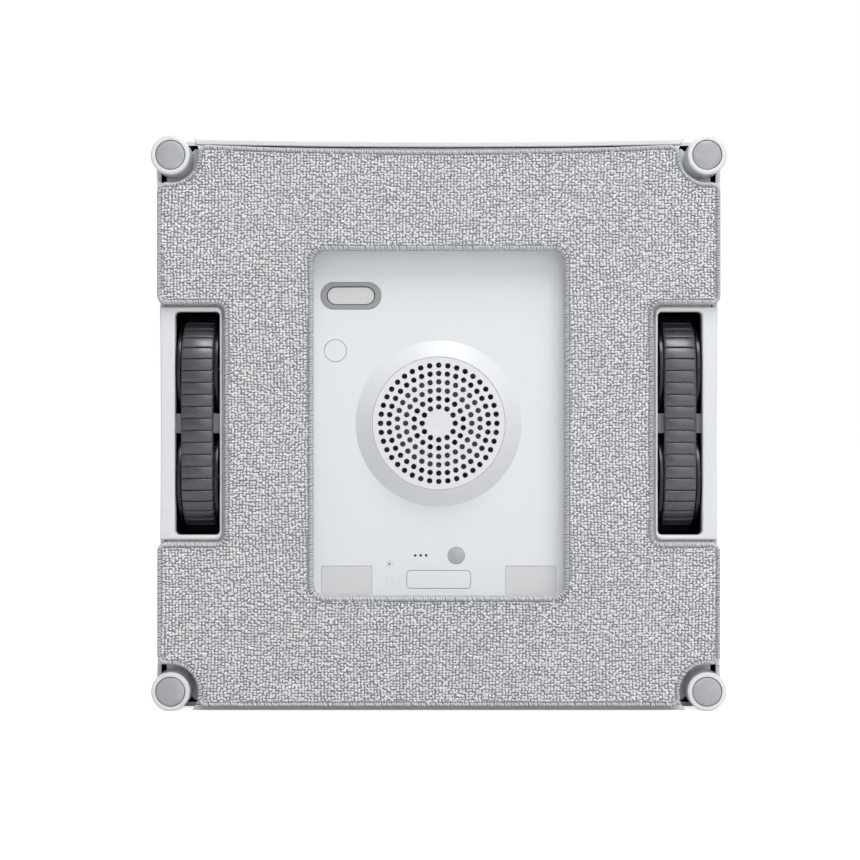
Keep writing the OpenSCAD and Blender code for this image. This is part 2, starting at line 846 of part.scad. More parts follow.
module fan_motor() color(steel) stand() difference() {
    union() {
        slab(fan_motor_front, fan_motor_back) circle(fan_motor_r);
        slab(fan_floor - fan_wall, fan_floor) circle(fan_motor_r + fan_wall);
    }
    slab(fan_motor_front - cut_over, fan_motor_back - 2*fan_wall) circle(fan_shaft_r + run_fit);
}

module fan_shaft() color(steel) stand()
    slab(impeller_front, fan_motor_back - 3*fan_wall) circle(fan_shaft_r);

// A blade is the part of a thin ring, set off centre, that lies on the impeller
module impeller_blade() intersection() {
    difference() {
        circle(impeller_r - impeller_plate);
        circle(impeller_hub_r + impeller_plate);
    }
    translate([blade_root_r, -blade_bend_r]) difference() {
        circle(blade_bend_r);
        circle(blade_bend_r - blade_thick);
    }
    translate([0, -impeller_r]) square([2*impeller_r, 2*impeller_r]);
}

module fan_impeller() color(part_grey) stand() difference() {
    union() {
        slab(impeller_back - impeller_plate, impeller_back) circle(impeller_r);
        slab(impeller_front + impeller_plate, impeller_back) circle(impeller_hub_r);
        slab(impeller_front, impeller_front + impeller_plate) difference() {
            circle(shroud_out_r);
            circle(shroud_in_r);
        }
        slab(impeller_front + impeller_plate/2, impeller_back - impeller_plate/2)
            for (i = [0:blade_count - 1]) rotate(360*i/blade_count) impeller_blade();
    }
    slab(impeller_front - cut_over, impeller_back + cut_over) circle(fan_shaft_r + press_gap);
}

module exhaust_slot() intersection() {
    difference() {
        circle(slot_out_r);
        circle(slot_in_r);
    }
    rotate(slot_skew/2) translate([slot_in_r - slot_w, 0]) rotate(slot_skew)
        translate([0, -slot_w/2]) square([slot_out_r, slot_w]);
}

module exhaust_grille() color(soft_grey) stand() difference() {
    union() {
        slab(back_inside - exhaust_lip/2, body_d) circle(exhaust_r);
        slab(back_inside - exhaust_lip/2, back_inside) circle(exhaust_r + exhaust_lip);
    }
    slab(back_inside - exhaust_lip, body_d + cut_over)
        for (i = [0:exhaust_slots - 1]) rotate(360*i/exhaust_slots) exhaust_slot();
}

// Button, light, sockets and plug on the back

button_face = body_d;

module start_button() color(soft_grey) stand() translate([0, button_y]) {
    slab(button_face - button_thick, button_face) circle(button_r);
    slab(board_back + switch_tip + tip_gap + button_travel, button_face - button_thick)
        circle(button_stem_r);
}

module light_ring() color(tank_blue) stand() translate([0, button_y])
    slab(back_inside - ring_w, body_d - ring_gap/2) difference() {
        circle(button_r + ring_gap + ring_w);
        circle(button_r + ring_gap);
    }

module main_board() color(board_green) stand() {
    difference() {
        translate([0, board_y]) slab(board_front, board_back) round_rect(board_w, board_h, 2*board_thick);
        for (p = board_places()) translate(p) slab(board_front - cut_over, board_back + cut_over)
            circle(screw_r);
    }
    translate([0, button_y]) slab(board_back, board_back + switch_tip) square(4*button_stem_r, center = true);
    translate([-board_w/4, board_y - board_h/4]) slab(board_back, board_back + board_thick)
        square(board_h/4, center = true);
    translate([board_w/4, board_y]) slab(board_front - board_h/8, board_front)
        square([board_w/6, board_h/3], center = true);
    translate([-board_w/4, board_y]) slab(board_front - board_h/6, board_front)
        square([board_w/8, board_h/2], center = true);
}

module power_inlet() color(dark_grey) stand() translate([inlet_x, inlet_y]) {
    difference() {
        slab(board_back, body_d) circle(inlet_r);
        slab(body_d - inlet_bore_len, body_d + cut_over) circle(inlet_bore_r);
        slab(board_back + board_thick, body_d) circle(inlet_inner_r);
    }
    slab(board_back + board_thick/2, body_d - inlet_bore_len - inlet_pin_r) circle(inlet_pin_r);
}

module tether_anchor() color(soft_grey) stand() translate([anchor_x, anchor_y]) {
    difference() {
        union() {
            slab(body_d - anchor_depth - anchor_wall, body_d) circle(anchor_r);
            slab(back_inside - anchor_lip_thick, back_inside) circle(anchor_r + anchor_lip);
        }
        slab(body_d - anchor_depth, body_d + cut_over) circle(anchor_r - anchor_wall);
    }
    translate([0, 0, anchor_bar_r + anchor_wall - body_d]) rotate([0, 90, 0])
        cylinder(h = 2*anchor_r - anchor_wall, r = anchor_bar_r, center = true);
}

module filler_plug() color(part_grey) stand() translate([filler_x, filler_y]) difference() {
    union() {
        slab(body_d - filler_head, body_d) circle(filler_head_r);
        slab(body_d - filler_head - filler_stem, body_d - filler_head) circle(filler_stem_r);
    }
    for (y = [-1, 1]) translate([0, y*1.6*filler_grip_w]) slab(body_d - filler_head/2, body_d + cut_over)
        square([filler_grip_len, filler_grip_w], center = true);
}

tank_back = tank_front + tank_d;
neck_end = body_d - filler_head - move_gap;

module water_tank() color(tank_blue) stand() difference() {
    union() {
        translate([0, tank_y]) slab(tank_front, tank_back) round_rect(tank_w, tank_h, tank_r);
        translate([filler_x, filler_y]) slab(tank_back - tank_wall, neck_end) circle(neck_r);
    }
    translate([0, tank_y]) slab(tank_front + tank_wall, tank_back - tank_wall)
        round_rect(tank_w - 2*tank_wall, tank_h - 2*tank_wall, tank_r - tank_wall);
    translate([filler_x, filler_y]) slab(tank_back - 2*tank_wall, body_d) circle(filler_stem_r + run_fit);
}

pump_y = tank_y + tank_h/2 + pump_r + move_gap;
pump_depth = tank_front + tank_d/2 + pump_r;

module spray_pump() color(dark_grey) stand() translate([pump_x, pump_y, -pump_depth])
    rotate([0, 90, 0]) {
        cylinder(h = pump_len, r = pump_r, center = true);
        translate([0, 0, pump_len/2]) cylinder(h = pump_head, r = pump_head_r);
    }

module spray_nozzles() color(part_grey) stand()
    for (x = [-1, 1]) on_side(x) translate([nozzle_x, nozzle_y, -nozzle_depth]) rotate([0, 90, 0])
        difference() {
            union() {
                translate([0, 0, -nozzle_body/2]) cylinder(h = nozzle_body/2 + nozzle_flange, r = nozzle_r);
                translate([0, 0, shell_wall/2]) cylinder(h = nozzle_flange, r = nozzle_flange_r);
            }
            translate([0, 0, -nozzle_body]) cylinder(h = 2*nozzle_body, r = nozzle_hole_r);
            translate([0, 0, shell_wall/2]) cylinder(h = nozzle_flange + cut_over,
                r1 = nozzle_hole_r, r2 = nozzle_cone_r);
        }

module battery_pack() color(cell_blue) stand()
    for (y = [-1, 1]) translate([0, pack_y + y*(cell_r + cell_gap/2), -pack_front - cell_r])
        rotate([0, 90, 0]) {
            cylinder(h = 2*cell_len, r = cell_r, center = true);
            translate([0, -y*cell_r/2, 0]) cube([2*cell_r - 2*wrap_wall, cell_r + cell_gap,
                2*cell_len - 2*wrap_wall], center = true);
        }

// Tracks: belt, wheels, case and gears

// A point on the belt's loop, at a distance along the outer face and a radius
function loop_point(s, r) =
    let (bend = PI*belt_r, run = wheel_spacing)
    s < run ? [s - wheel_y, r]
    : s < run + bend ? let (a = 90 - 180*(s - run)/bend) [wheel_y + r*cos(a), r*sin(a)]
    : s < 2*run + bend ? [wheel_y - (s - run - bend), -r]
    : let (a = 270 - 180*(s - 2*run - bend)/bend) [r*cos(a) - wheel_y, r*sin(a)];

function belt_points() =
    let (loop = 2*wheel_spacing + 2*PI*belt_r, pitch = loop/block_count)
    [for (i = [0:block_count - 1]) each [
        loop_point(i*pitch, belt_r - block_depth),
        loop_point(i*pitch + groove_width/2, belt_r),
        loop_point((i + 1)*pitch - groove_width/2, belt_r)]];

// Half of the belt's cross-section: a flat band with bevelled shoulders
function belt_section() = [[belt_inner_r, -belt_w/2], [belt_r - block_bevel, -belt_w/2],
    [belt_r + cut_over/4, block_bevel - belt_w/2], [belt_r + cut_over/4, belt_w/2 - block_bevel],
    [belt_r - block_bevel, belt_w/2], [belt_inner_r, belt_w/2]];

module belt_band()
    for (turned = [0, 180]) rotate(turned) {
        translate([wheel_y, 0, 0]) rotate(-90) rotate_extrude(angle = 180) polygon(belt_section());
        translate([-wheel_y, 0, 0]) rotate([90, 0, 90]) linear_extrude(wheel_spacing)
            polygon(belt_section());
    }

module belt(x) color(tread_grey) stand() on_side(x) on_axle(0) intersection() {
    translate([0, 0, -belt_w/2]) linear_extrude(belt_w) difference() {
        polygon(belt_points());
        stadium(wheel_spacing + 2*belt_inner_r, 2*belt_inner_r);
    }
    belt_band();
}

module wheel_body(bore_r) difference() {
    rotate_extrude() polygon([[0, -web_thick/2 - flange_thick], [hub_r, -web_thick/2 - flange_thick],
        [hub_r, -web_thick/2], [wheel_r - rim_thick, -web_thick/2],
        [wheel_r - rim_thick, -wheel_half - flange_thick], [flange_r, -wheel_half - flange_thick],
        [flange_r, -wheel_half], [wheel_r, -wheel_half], [wheel_r, wheel_half],
        [flange_r, wheel_half], [flange_r, wheel_half + flange_thick],
        [wheel_r - rim_thick, wheel_half + flange_thick], [wheel_r - rim_thick, web_thick/2],
        [hub_r, web_thick/2], [hub_r, web_thick/2 + flange_thick], [0, web_thick/2 + flange_thick]]);
    cylinder(h = body_w, r = bore_r, center = true);
    for (i = [0:wheel_holes - 1]) rotate(360*i/wheel_holes)
        translate([(hub_r + wheel_r - rim_thick)/2, 0, 0])
            cylinder(h = 2*web_thick, r = wheel_hole_r, center = true);
}

module drive_wheel(x) color(dark_grey) stand() on_side(x) on_axle(-wheel_y)
    wheel_body(axle_r + press_gap);

module idler_wheel(x) color(dark_grey) stand() on_side(x) on_axle(wheel_y)
    wheel_body(axle_r + run_fit);

module drive_axle(x) color(steel) stand() on_side(x) on_axle(-wheel_y)
    translate([0, 0, -plate_end]) cylinder(h = plate_end + case_half, r = axle_r);

module idler_pins() color(steel) stand()
    for (x = [-1, 1]) on_side(x) on_axle(wheel_y)
        cylinder(h = 2*case_half, r = axle_r, center = true);

module track_case(x) color(case_black) stand() on_side(x) difference() {
    translate([track_x, 0]) slab(chassis_back, case_back)
        square([2*case_half, case_in_h + 2*case_wall], center = true);
    translate([track_x, 0]) slab(chassis_back - cut_over, case_in_back)
        square([case_in_w, case_in_h], center = true);
    on_axle(-wheel_y) cylinder(h = 4*case_half, r = axle_r + run_fit, center = true);
    on_axle(wheel_y) cylinder(h = 4*case_half, r = axle_r + press_gap, center = true);
}

module belt_bridges() color(part_grey) stand() at_tracks() {
    slab(bridge_front, bridge_step) square([case_in_w, 2*bridge_half], center = true);
    slab(bridge_step, bridge_back) square([case_in_w, 2*bridge_stem_half], center = true);
}

function turn(p, a) = [p[0]*cos(a) - p[1]*sin(a), p[0]*sin(a) + p[1]*cos(a)];

// Point of an involute that unrolls from a base circle, by a roll angle in degrees
function involute(base, roll) = base*[cos(roll) + roll*PI/180*sin(roll),
    sin(roll) - roll*PI/180*cos(roll)];

function gear_points(teeth) =
    let (pitch = tooth_size*teeth/2, base = pitch*cos(pressure_angle),
         tip = pitch + addendum, root = pitch - dedendum,
         first = root > base ? sqrt(pow(root/base, 2) - 1)*180/PI : 0,
         last = sqrt(pow(tip/base, 2) - 1)*180/PI,
         half = 90/teeth - backlash/(4*pitch)*180/PI + tan(pressure_angle)*180/PI - pressure_angle,
         flank = [for (i = [0:flank_steps]) involute(base, mix(first, last, i/flank_steps))])
    [for (k = [0:teeth - 1]) let (a = 360*k/teeth) each concat(
        root < base ? [turn([root, 0], a - half)] : [],
        [for (p = flank) turn(p, a - half)],
        [for (p = back_to_front(flip(flank, 1, -1))) turn(p, a + half)],
        root < base ? [turn([root, 0], a + half)] : [])];

module output_gear(x) color(brass) stand() on_side(x) on_axle(-wheel_y)
    translate([0, 0, -gear_end]) rotate(mesh_angle) difference() {
        linear_extrude(gear_face) polygon(gear_points(gear_teeth));
        translate([0, 0, gear_web]) cylinder(h = gear_face, r = gear_r - gear_web);
        translate([0, 0, -cut_over]) cylinder(h = gear_face + 2*cut_over, r = axle_r + press_gap);
    }

module pinion(x) color(brass) stand() on_side(x)
    translate([track_x - gear_end, pinion_y, -pinion_depth]) rotate([90, 0, 90])
        rotate(mesh_angle + 180 + 180/pinion_teeth) difference() {
            linear_extrude(gear_face) polygon(gear_points(pinion_teeth));
            translate([0, 0, -cut_over]) cylinder(h = gear_face + 2*cut_over, r = motor_shaft_r + run_fit);
        }

plate_low = -wheel_y - gear_hub_r - plate_margin;
plate_high = pinion_y + motor_r;
plate_near = axle_depth - gear_hub_r - plate_margin;
plate_far = pinion_depth + motor_r;

function standoffs() = [[plate_low + standoff_r, plate_far - standoff_r],
    [plate_low + standoff_r + gear_hub_r, plate_far - standoff_r],
    [plate_high - standoff_r, plate_near + standoff_r]];

module motor_plates() color(steel) stand() for (x = [-1, 1]) on_side(x) difference() {
    union() {
        translate([track_x - plate_end, plate_low, -plate_far])
            cube([plate_thick, plate_high - plate_low, plate_far - plate_near]);
        for (p = standoffs()) translate([track_x - plate_end, p[0], -p[1]]) rotate([0, 90, 0])
            cylinder(h = plate_end - case_half, r = standoff_r);
    }
    on_axle(-wheel_y) cylinder(h = body_w, r = axle_r + run_fit, center = true);
    translate([track_x - plate_start, pinion_y, -pinion_depth]) rotate([0, 90, 0])
        cylinder(h = 4*plate_thick, r = motor_nose_r + press_gap, center = true);
}

module drive_motor(x) color(dark_grey) stand() on_side(x)
    translate([track_x - plate_end, pinion_y, -pinion_depth]) rotate([0, 90, 0]) {
        translate([0, 0, -motor_len]) cylinder(h = motor_len, r = motor_r);
        cylinder(h = plate_thick, r = motor_nose_r);
        cylinder(h = plate_thick + plate_gap + gear_face, r = motor_shaft_r);
    }

module left_track_case() track_case(-1);
module left_belt() belt(-1);
module left_drive_wheel() drive_wheel(-1);
module left_drive_axle() drive_axle(-1);
module left_output_gear() output_gear(-1);
module left_idler_wheel() idler_wheel(-1);
module left_pinion() pinion(-1);
module left_drive_motor() drive_motor(-1);
module right_track_case() track_case(1);
module right_belt() belt(1);
module right_drive_wheel() drive_wheel(1);
module right_drive_axle() drive_axle(1);
module right_output_gear() output_gear(1);
module right_idler_wheel() idler_wheel(1);
module right_pinion() pinion(1);
module right_drive_motor() drive_motor(1);

outer_shell();
chassis();
hook_strips();
housing_screws();
suction_panel();
suction_cone();
inlet_grille();
fan_gasket();
fan_housing();
fan_motor();
fan_shaft();
fan_impeller();
exhaust_grille();
battery_pack();
main_board();
water_tank();
spray_pump();
spray_nozzles();
filler_plug();
power_inlet();
tether_anchor();
start_button();
light_ring();
switch_bezel();
power_switch();
service_hatch();
screw_cover();
port_plug();
corner_pads();
roller_posts();
top_left_roller();
top_right_roller();
bottom_left_roller();
bottom_right_roller();
top_left_plunger();
top_right_plunger();
bottom_left_plunger();
bottom_right_plunger();
pad_cloth();
pad_backing();
belt_bridges();
motor_plates();
idler_pins();
left_track_case();
left_belt();
left_drive_wheel();
left_drive_axle();
left_output_gear();
left_idler_wheel();
left_pinion();
left_drive_motor();
right_track_case();
right_belt();
right_drive_wheel();
right_drive_axle();
right_output_gear();
right_idler_wheel();
right_pinion();
right_drive_motor();
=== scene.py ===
"""Looks of a window cleaning robot, seen from the side that faces the glass."""
import json
import math

import bmesh
import bpy
import numpy as np
from bpy.props import FloatProperty, FloatVectorProperty, IntProperty, PointerProperty
from bpy.types import Operator, Panel, PropertyGroup
from mathutils import Matrix, Vector, kdtree

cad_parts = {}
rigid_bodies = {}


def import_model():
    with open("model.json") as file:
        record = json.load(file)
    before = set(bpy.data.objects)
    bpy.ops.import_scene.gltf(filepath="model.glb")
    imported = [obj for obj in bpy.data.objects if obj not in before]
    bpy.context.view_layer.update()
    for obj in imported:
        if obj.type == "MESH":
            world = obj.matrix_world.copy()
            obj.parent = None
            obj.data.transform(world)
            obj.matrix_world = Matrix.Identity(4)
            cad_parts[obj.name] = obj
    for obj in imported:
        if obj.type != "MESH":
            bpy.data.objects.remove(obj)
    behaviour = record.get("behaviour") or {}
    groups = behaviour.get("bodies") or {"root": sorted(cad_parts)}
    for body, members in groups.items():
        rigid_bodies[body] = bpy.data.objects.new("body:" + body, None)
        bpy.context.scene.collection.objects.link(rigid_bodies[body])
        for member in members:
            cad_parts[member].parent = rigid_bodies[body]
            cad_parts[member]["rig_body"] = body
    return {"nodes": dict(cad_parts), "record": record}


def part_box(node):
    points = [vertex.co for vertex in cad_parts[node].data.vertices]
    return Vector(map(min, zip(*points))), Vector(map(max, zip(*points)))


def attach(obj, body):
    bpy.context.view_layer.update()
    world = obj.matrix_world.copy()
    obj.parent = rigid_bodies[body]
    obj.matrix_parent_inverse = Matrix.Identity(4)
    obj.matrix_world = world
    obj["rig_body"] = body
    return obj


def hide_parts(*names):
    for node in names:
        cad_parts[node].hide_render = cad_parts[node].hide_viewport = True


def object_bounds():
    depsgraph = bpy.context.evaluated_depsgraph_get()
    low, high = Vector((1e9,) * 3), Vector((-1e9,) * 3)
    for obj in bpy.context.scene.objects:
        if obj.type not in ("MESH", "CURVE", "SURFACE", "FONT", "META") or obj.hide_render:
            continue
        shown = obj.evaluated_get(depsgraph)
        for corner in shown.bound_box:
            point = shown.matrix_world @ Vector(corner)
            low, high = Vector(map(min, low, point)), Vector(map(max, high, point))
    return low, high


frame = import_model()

bl_info = {
    "name": "Window cleaning robot",
    "version": (1, 0, 0),
    "blender": (4, 5, 0),
    "location": "View3D > Sidebar > Window robot",
    "description": "Shell, pad, rollers, tracks and finishes of a window cleaning robot",
    "category": "Object",
}

MM = 0.001
FULL = 2*math.pi
CAD_LOW, CAD_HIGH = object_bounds()
FRONT = CAD_LOW.y
HALF_W = CAD_HIGH.x
HALF_H = (CAD_HIGH.z - CAD_LOW.z)/2
BODY_D = CAD_HIGH.y - CAD_LOW.y
PAD_LOW, PAD_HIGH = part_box("pad_cloth")
BACKING_LOW, BACKING_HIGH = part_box("pad_backing")
ROLLER_LOW, ROLLER_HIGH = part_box("top_right_roller")
NODE_SLOT = {row["node"]: row["material_slot"] for row in frame["record"]["subparts"]}

RIM = 5.3*MM      # depth of the shell's front rim behind the pad's front
SHELF = ROLLER_HIGH.y - FRONT + 0.3*MM      # depth of the shelf behind each roller
LAND = 3*MM      # depth of the raised land round each track
NOZZLE_R = 3.3*MM      # radius of the bore for the spray nozzles
CUT_X, CUT_Y = 93.3*MM, 51.5*MM      # inner edge and half height of the pad's cut-outs
WINDOW_X, WINDOW_Y = 54.5*MM, 75*MM      # half width and half height of the pad's window
HEM_ROLL = 1.4*MM      # how far the ground cloth rolls back at its edges
FOOT = 0.1*MM      # how deep the loops stand in the ground cloth
WRAP_H, RUN_H = 3*MM, 0.75*MM      # heights of the overlock's wraps and stitches
WELD = 0.002*MM      # points nearer than this become one

# How much wider than its fitting each opening of the back is; a flange covers the narrower ones
BACK_OPENINGS = {"exhaust_grille": -2.4*MM, "light_ring": 0.1*MM, "power_inlet": 0.1*MM,
                 "filler_plug": 0.3*MM, "tether_anchor": -1.9*MM}


def length(name, text, value):
    """A size in metres, shown in the scene's unit"""
    return FloatProperty(name=name, description=text, default=value, min=0, unit="LENGTH", precision=5)


def shade(name, text, value):
    """A colour that a user may change"""
    return FloatVectorProperty(name=name, description=text, default=value, size=3, min=0, max=1,
                               subtype="COLOR")


class ShellSizes(PropertyGroup):
    """Sizes of the outer shell"""
    wall: length("Wall", "Thickness of the shell", 2.4*MM)
    edge_r: length("Edge rounding", "Radius between the sides and the back", 20*MM)
    corner_r: length("Corner radius", "Radius of the corners behind the rollers", 28*MM)
    side_sag: length("Side sag", "How far each side curves in between its corners", 2.1*MM)
    top_sag: length("Top sag", "How far the top curves in between its corners", 1.3*MM)
    side_lean: length("Side lean", "How much narrower the shell is at its rim", 1.9*MM)
    top_lean: length("Top lean", "How much lower the top is at the rim", 0.9*MM)
    notch_gap: length("Notch gap", "Free space round each corner roller", 3.7*MM)
    ear_wall: length("Ear wall", "Thickness of the shelf behind each roller", 2.2*MM)
    fillet: length("Fillet", "Rounding of the cut edges", 0.45*MM)
    steps: IntProperty(name="Steps", description="Rings along the sides and round the edge", default=12,
                       min=4)


class PadSizes(PropertyGroup):
    """Sizes of the cleaning pad and its yarn"""
    notch_r: length("Notch radius", "Radius of the hollow round a corner roller", 11.8*MM)
    end_r: length("End rounding", "Rounding beside each hollow", 4*MM)
    cut_r: length("Cut-out radius", "Inner corners of the cut-outs beside the tracks", 3*MM)
    window_r: length("Window radius", "Corners of the window", 5*MM)
    top_sag: length("Top sag", "How far the top edge curves in", 2.4*MM)
    cell: length("Ground cell", "Spacing of the ground cloth's mesh", 0.8*MM)
    ground: length("Ground depth", "Depth of the ground cloth below the loops' tips", 1.15*MM)
    course: length("Course", "Spacing of the rows of loops", 1.15*MM)
    wale: length("Wale", "Spacing of the loops along a row", 1.42*MM)
    loop_r: length("Loop reach", "Half the width of a loop", 0.3*MM)
    yarn: length("Yarn", "Thickness of the looped yarn", 1.0*MM)
    hem: length("Hem", "Width of the overlocked edge", 2.5*MM)
    stitch: length("Stitch pitch", "Spacing of the overlock stitches", 1.06*MM)
    thread: length("Thread", "Thickness of the overlock thread", 0.98*MM)


class TrackSizes(PropertyGroup):
    """Sizes of the tracks"""
    blocks: IntProperty(name="Blocks", description="Blocks on each belt", default=45, min=20)
    wheel_spacing: length("Wheel spacing", "Distance between the two wheels", 48*MM)
    block_h: length("Block height", "How far a block stands out of the band", 1.5*MM)
    groove: length("Groove", "Gap between two blocks at their face", 0.5*MM)
    shoulder: length("Shoulder", "Chamfer at each end of a block", 1.4*MM)
    band: length("Band", "Thickness of the band under the blocks", 1.5*MM)


class Colours(PropertyGroup):
    """Colours of the robot"""
    shell: shade("Shell", "White of the shell and chassis", (0.76, 0.78, 0.8))
    panel: shade("Panel", "Cool white of the centre panel", (0.775, 0.805, 0.835))
    light_grey: shade("Light grey", "Switch, bridges and patches", (0.68, 0.685, 0.695))
    mid_grey: shade("Mid grey", "Bezel, plug and nozzles", (0.33, 0.335, 0.34))
    cap: shade("Sensor cap", "Grey of the edge sensors' caps", (0.44, 0.445, 0.46))
    cloth: shade("Cloth", "Grey of the looped yarn", (0.96, 0.965, 0.99))
    # The ground cloth's grey is painted shade: darker than the loops because little light gets in between
    # them
    ground: shade("Ground cloth", "Grey between the loops", (0.4, 0.405, 0.425))
    thread: shade("Thread", "Overlock thread", (0.68, 0.685, 0.71))
    belt: shade("Belt", "Dark grey of the belts", (0.057, 0.06, 0.073))
    wheel: shade("Wheel", "Near black of the wheels", (0.012, 0.012, 0.014))


# Places on the face

def at(x, up, depth):
    """A point by its place on the face and its depth from the pad's front"""
    return Vector((x, FRONT + depth, HALF_H + up))


def mix(a, b, t):
    return a + (b - a)*t


def ease(t):
    return t*t*(3 - 2*t)


def arc(centre, radius, start, end, steps):
    """Points of an arc on the face, from one angle to another in degrees"""
    turns = [math.radians(mix(start, end, i/steps)) for i in range(steps + 1)]
    return [(centre[0] + radius*math.cos(a), centre[1] + radius*math.sin(a)) for a in turns]


def sagged(p, q, sag, steps):
    """Points between two ends of a side that curves in"""
    along = Vector(q) - Vector(p)
    across = Vector((along.y, -along.x)).normalized()
    shares = [i/steps for i in range(1, steps)]
    return [tuple(Vector(p) + along*t - across*4*sag*t*(1 - t)) for t in shares]


def fillet(before, corner, after, radius, steps=8):
    """A corner of an outline, rounded"""
    back = (Vector(before) - Vector(corner)).normalized()
    on = (Vector(after) - Vector(corner)).normalized()
    half = back.angle(on)/2
    centre = Vector(corner) + (back + on).normalized()*radius/math.sin(half)
    start = Vector(corner) + back*radius/math.tan(half) - centre
    end = Vector(corner) + on*radius/math.tan(half) - centre
    turn = start.angle_signed(end)
    made = []
    for i in range(steps + 1):
        spoke = start.copy()
        spoke.rotate(Matrix.Rotation(-turn*i/steps, 2))
        made.append(tuple(centre + spoke))
    return made


# Tools of the bench

def only(piece):
    """Selects one piece and nothing else"""
    bpy.ops.object.select_all(action="DESELECT")
    piece.select_set(True)
    bpy.context.view_layer.objects.active = piece
    return piece


def add(primitive, name, **settings):
    """Adds a primitive with nothing else selected and names it"""
    bpy.ops.object.select_all(action="DESELECT")
    primitive(**settings)
    piece = bpy.context.object
    piece.name = piece.data.name = name
    bpy.ops.object.transform_apply(location=True, rotation=True, scale=True)
    return piece


def edit(piece, mode="VERT"):
    """Opens a piece in edit mode, where it isn't yet, and returns its mesh"""
    if bpy.context.mode != "EDIT_MESH":
        only(piece)
        bpy.ops.object.mode_set(mode="EDIT")
    bpy.ops.mesh.select_mode(type=mode)
    return bmesh.from_edit_mesh(piece.data)


def select_all(action="SELECT"):
    bpy.ops.mesh.select_all(action=action)


def pick(piece, mode, test):
    """Selects in edit mode the vertices, edges or faces that pass a test"""
    mesh = edit(piece, mode)
    select_all("DESELECT")
    for item in {"VERT": mesh.verts, "EDGE": mesh.edges, "FACE": mesh.faces}[mode]:
        if test(item):
            item.select_set(True)
    bmesh.update_edit_mesh(piece.data)


def close():
    bpy.ops.object.mode_set(mode="OBJECT")


def applied(piece, kind, **settings):
    """Adds a modifier to a piece and applies it"""
    only(piece)
    modifier = piece.modifiers.new(kind.lower(), kind)
    for key, value in settings.items():
        setattr(modifier, key, value)
    bpy.ops.object.modifier_apply(modifier=modifier.name)
    return piece


def outward(piece):
    """Merges what lies together and turns every face outwards"""
    edit(piece)
    select_all()
    bpy.ops.mesh.remove_doubles(threshold=WELD)
    bpy.ops.mesh.normals_make_consistent(inside=False)
    close()
    return piece


def smooth(piece, angle=35):
    only(piece)
    bpy.ops.object.shade_smooth_by_angle(angle=math.radians(angle))
    return piece


def loft(name, rings):
    """A closed body through rings of points: a disc is laid on the first and extruded to each next one"""
    piece = add(bpy.ops.mesh.primitive_circle_add, name, vertices=len(rings[0]), fill_type="NGON")
    for vertex, point in zip(piece.data.vertices, rings[0]):
        vertex.co = point
    edit(piece, "FACE")
    select_all()
    for last, ring in zip(rings, rings[1:]):
        bpy.ops.mesh.extrude_region_move()
        near = kdtree.KDTree(len(last))
        for i, point in enumerate(last):
            near.insert(point, i)
        near.balance()
        mesh = bmesh.from_edit_mesh(piece.data)
        for vertex in mesh.verts:
            if vertex.select:
                vertex.co = ring[near.find(vertex.co)[1]]
        bmesh.update_edit_mesh(piece.data)
    close()
    return outward(piece)


def turned(name, profile, centre, steps=72):
    """A turned body: a closed profile of radius and depth, spun round an axis through the face"""
    piece = add(bpy.ops.mesh.primitive_circle_add, name, vertices=len(profile))
    for vertex, (radius, depth) in zip(piece.data.vertices, profile):
        vertex.co = at(centre[0] + radius, centre[1], depth)
    edit(piece)
    select_all()
    bpy.ops.mesh.spin(steps=steps, angle=FULL, center=at(*centre, 0), axis=(0, 1, 0), use_auto_merge=True)
    close()
    return outward(piece)


def rounded_profile(corners):
    """Points of a profile whose corners are rounded by their third value"""
    made = []
    for i, (x, y, radius) in enumerate(corners):
        if radius:
            made += fillet(corners[i - 1][:2], (x, y), corners[(i + 1) % len(corners)][:2], radius, 6)
        else:
            made.append((x, y))
    return made


def cut(piece, cutters):
    """Takes a list of cutters out of a piece"""
    for cutter in cutters:
        applied(piece, "BOOLEAN", operation="DIFFERENCE", solver="EXACT", object=cutter)
        bpy.data.objects.remove(cutter)
    return piece


def drill(centre, near, far, radius):
    """A round cutter through the face between two depths"""
    return add(bpy.ops.mesh.primitive_cylinder_add, "cutter", vertices=96, radius=radius, depth=far - near,
               location=at(centre[0], centre[1], (near + far)/2), rotation=(FULL/4, 0, 0))


def round_edges(piece, width, turns=2, angle=35):
    return applied(piece, "BEVEL", width=width, segments=turns, limit_method="ANGLE",
                   angle_limit=math.radians(angle), use_clamp_overlap=False, miter_outer="MITER_ARC")


def many(name, part, places):
    """One mesh that holds a copy of a part at each place"""
    shape = np.array([v.co for v in part.data.vertices])
    faces = [list(p.vertices) for p in part.data.polygons]
    turns = np.array([m.to_3x3() for m in places])
    shifts = np.array([m.translation for m in places])
    points = (np.einsum("nij,vj->nvi", turns, shape) + shifts[:, None]).reshape(-1, 3)
    steps = [i*len(shape) for i in range(len(places))]
    mesh = bpy.data.meshes.new(name)
    mesh.from_pydata(points.tolist(), [], [[step + i for i in face] for step in steps for face in faces])
    mesh.polygons.foreach_set("use_smooth", [True]*len(mesh.polygons))
    piece = bpy.data.objects.new(name, mesh)
    bpy.context.collection.objects.link(piece)
    bpy.data.objects.remove(part)
    return piece


def tint_copies(piece, count, draw):
    """Gives each copy in a mesh a tint of its own"""
    each = len(piece.data.vertices)//count
    tint = piece.data.attributes.new("tint", "FLOAT", "POINT")
    tint.data.foreach_set("value", np.repeat(draw.random(count), each))


def hand_over(piece, body, slot, *nodes):
    """Gives a finished piece its body, its finish and the nodes that it stands for"""
    piece.data.materials.clear()
    piece.data.materials.append(finish_of(slot))
    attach(piece, body)
    if nodes:
        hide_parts(*nodes)
    return piece


def body_of_node(node):
    return frame["nodes"][node]["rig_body"]


def on_land(edge):
    """Whether an edge lies on the raised land round a track"""
    return all(abs(v.co.y - FRONT - LAND) < 0.05*MM for v in edge.verts)


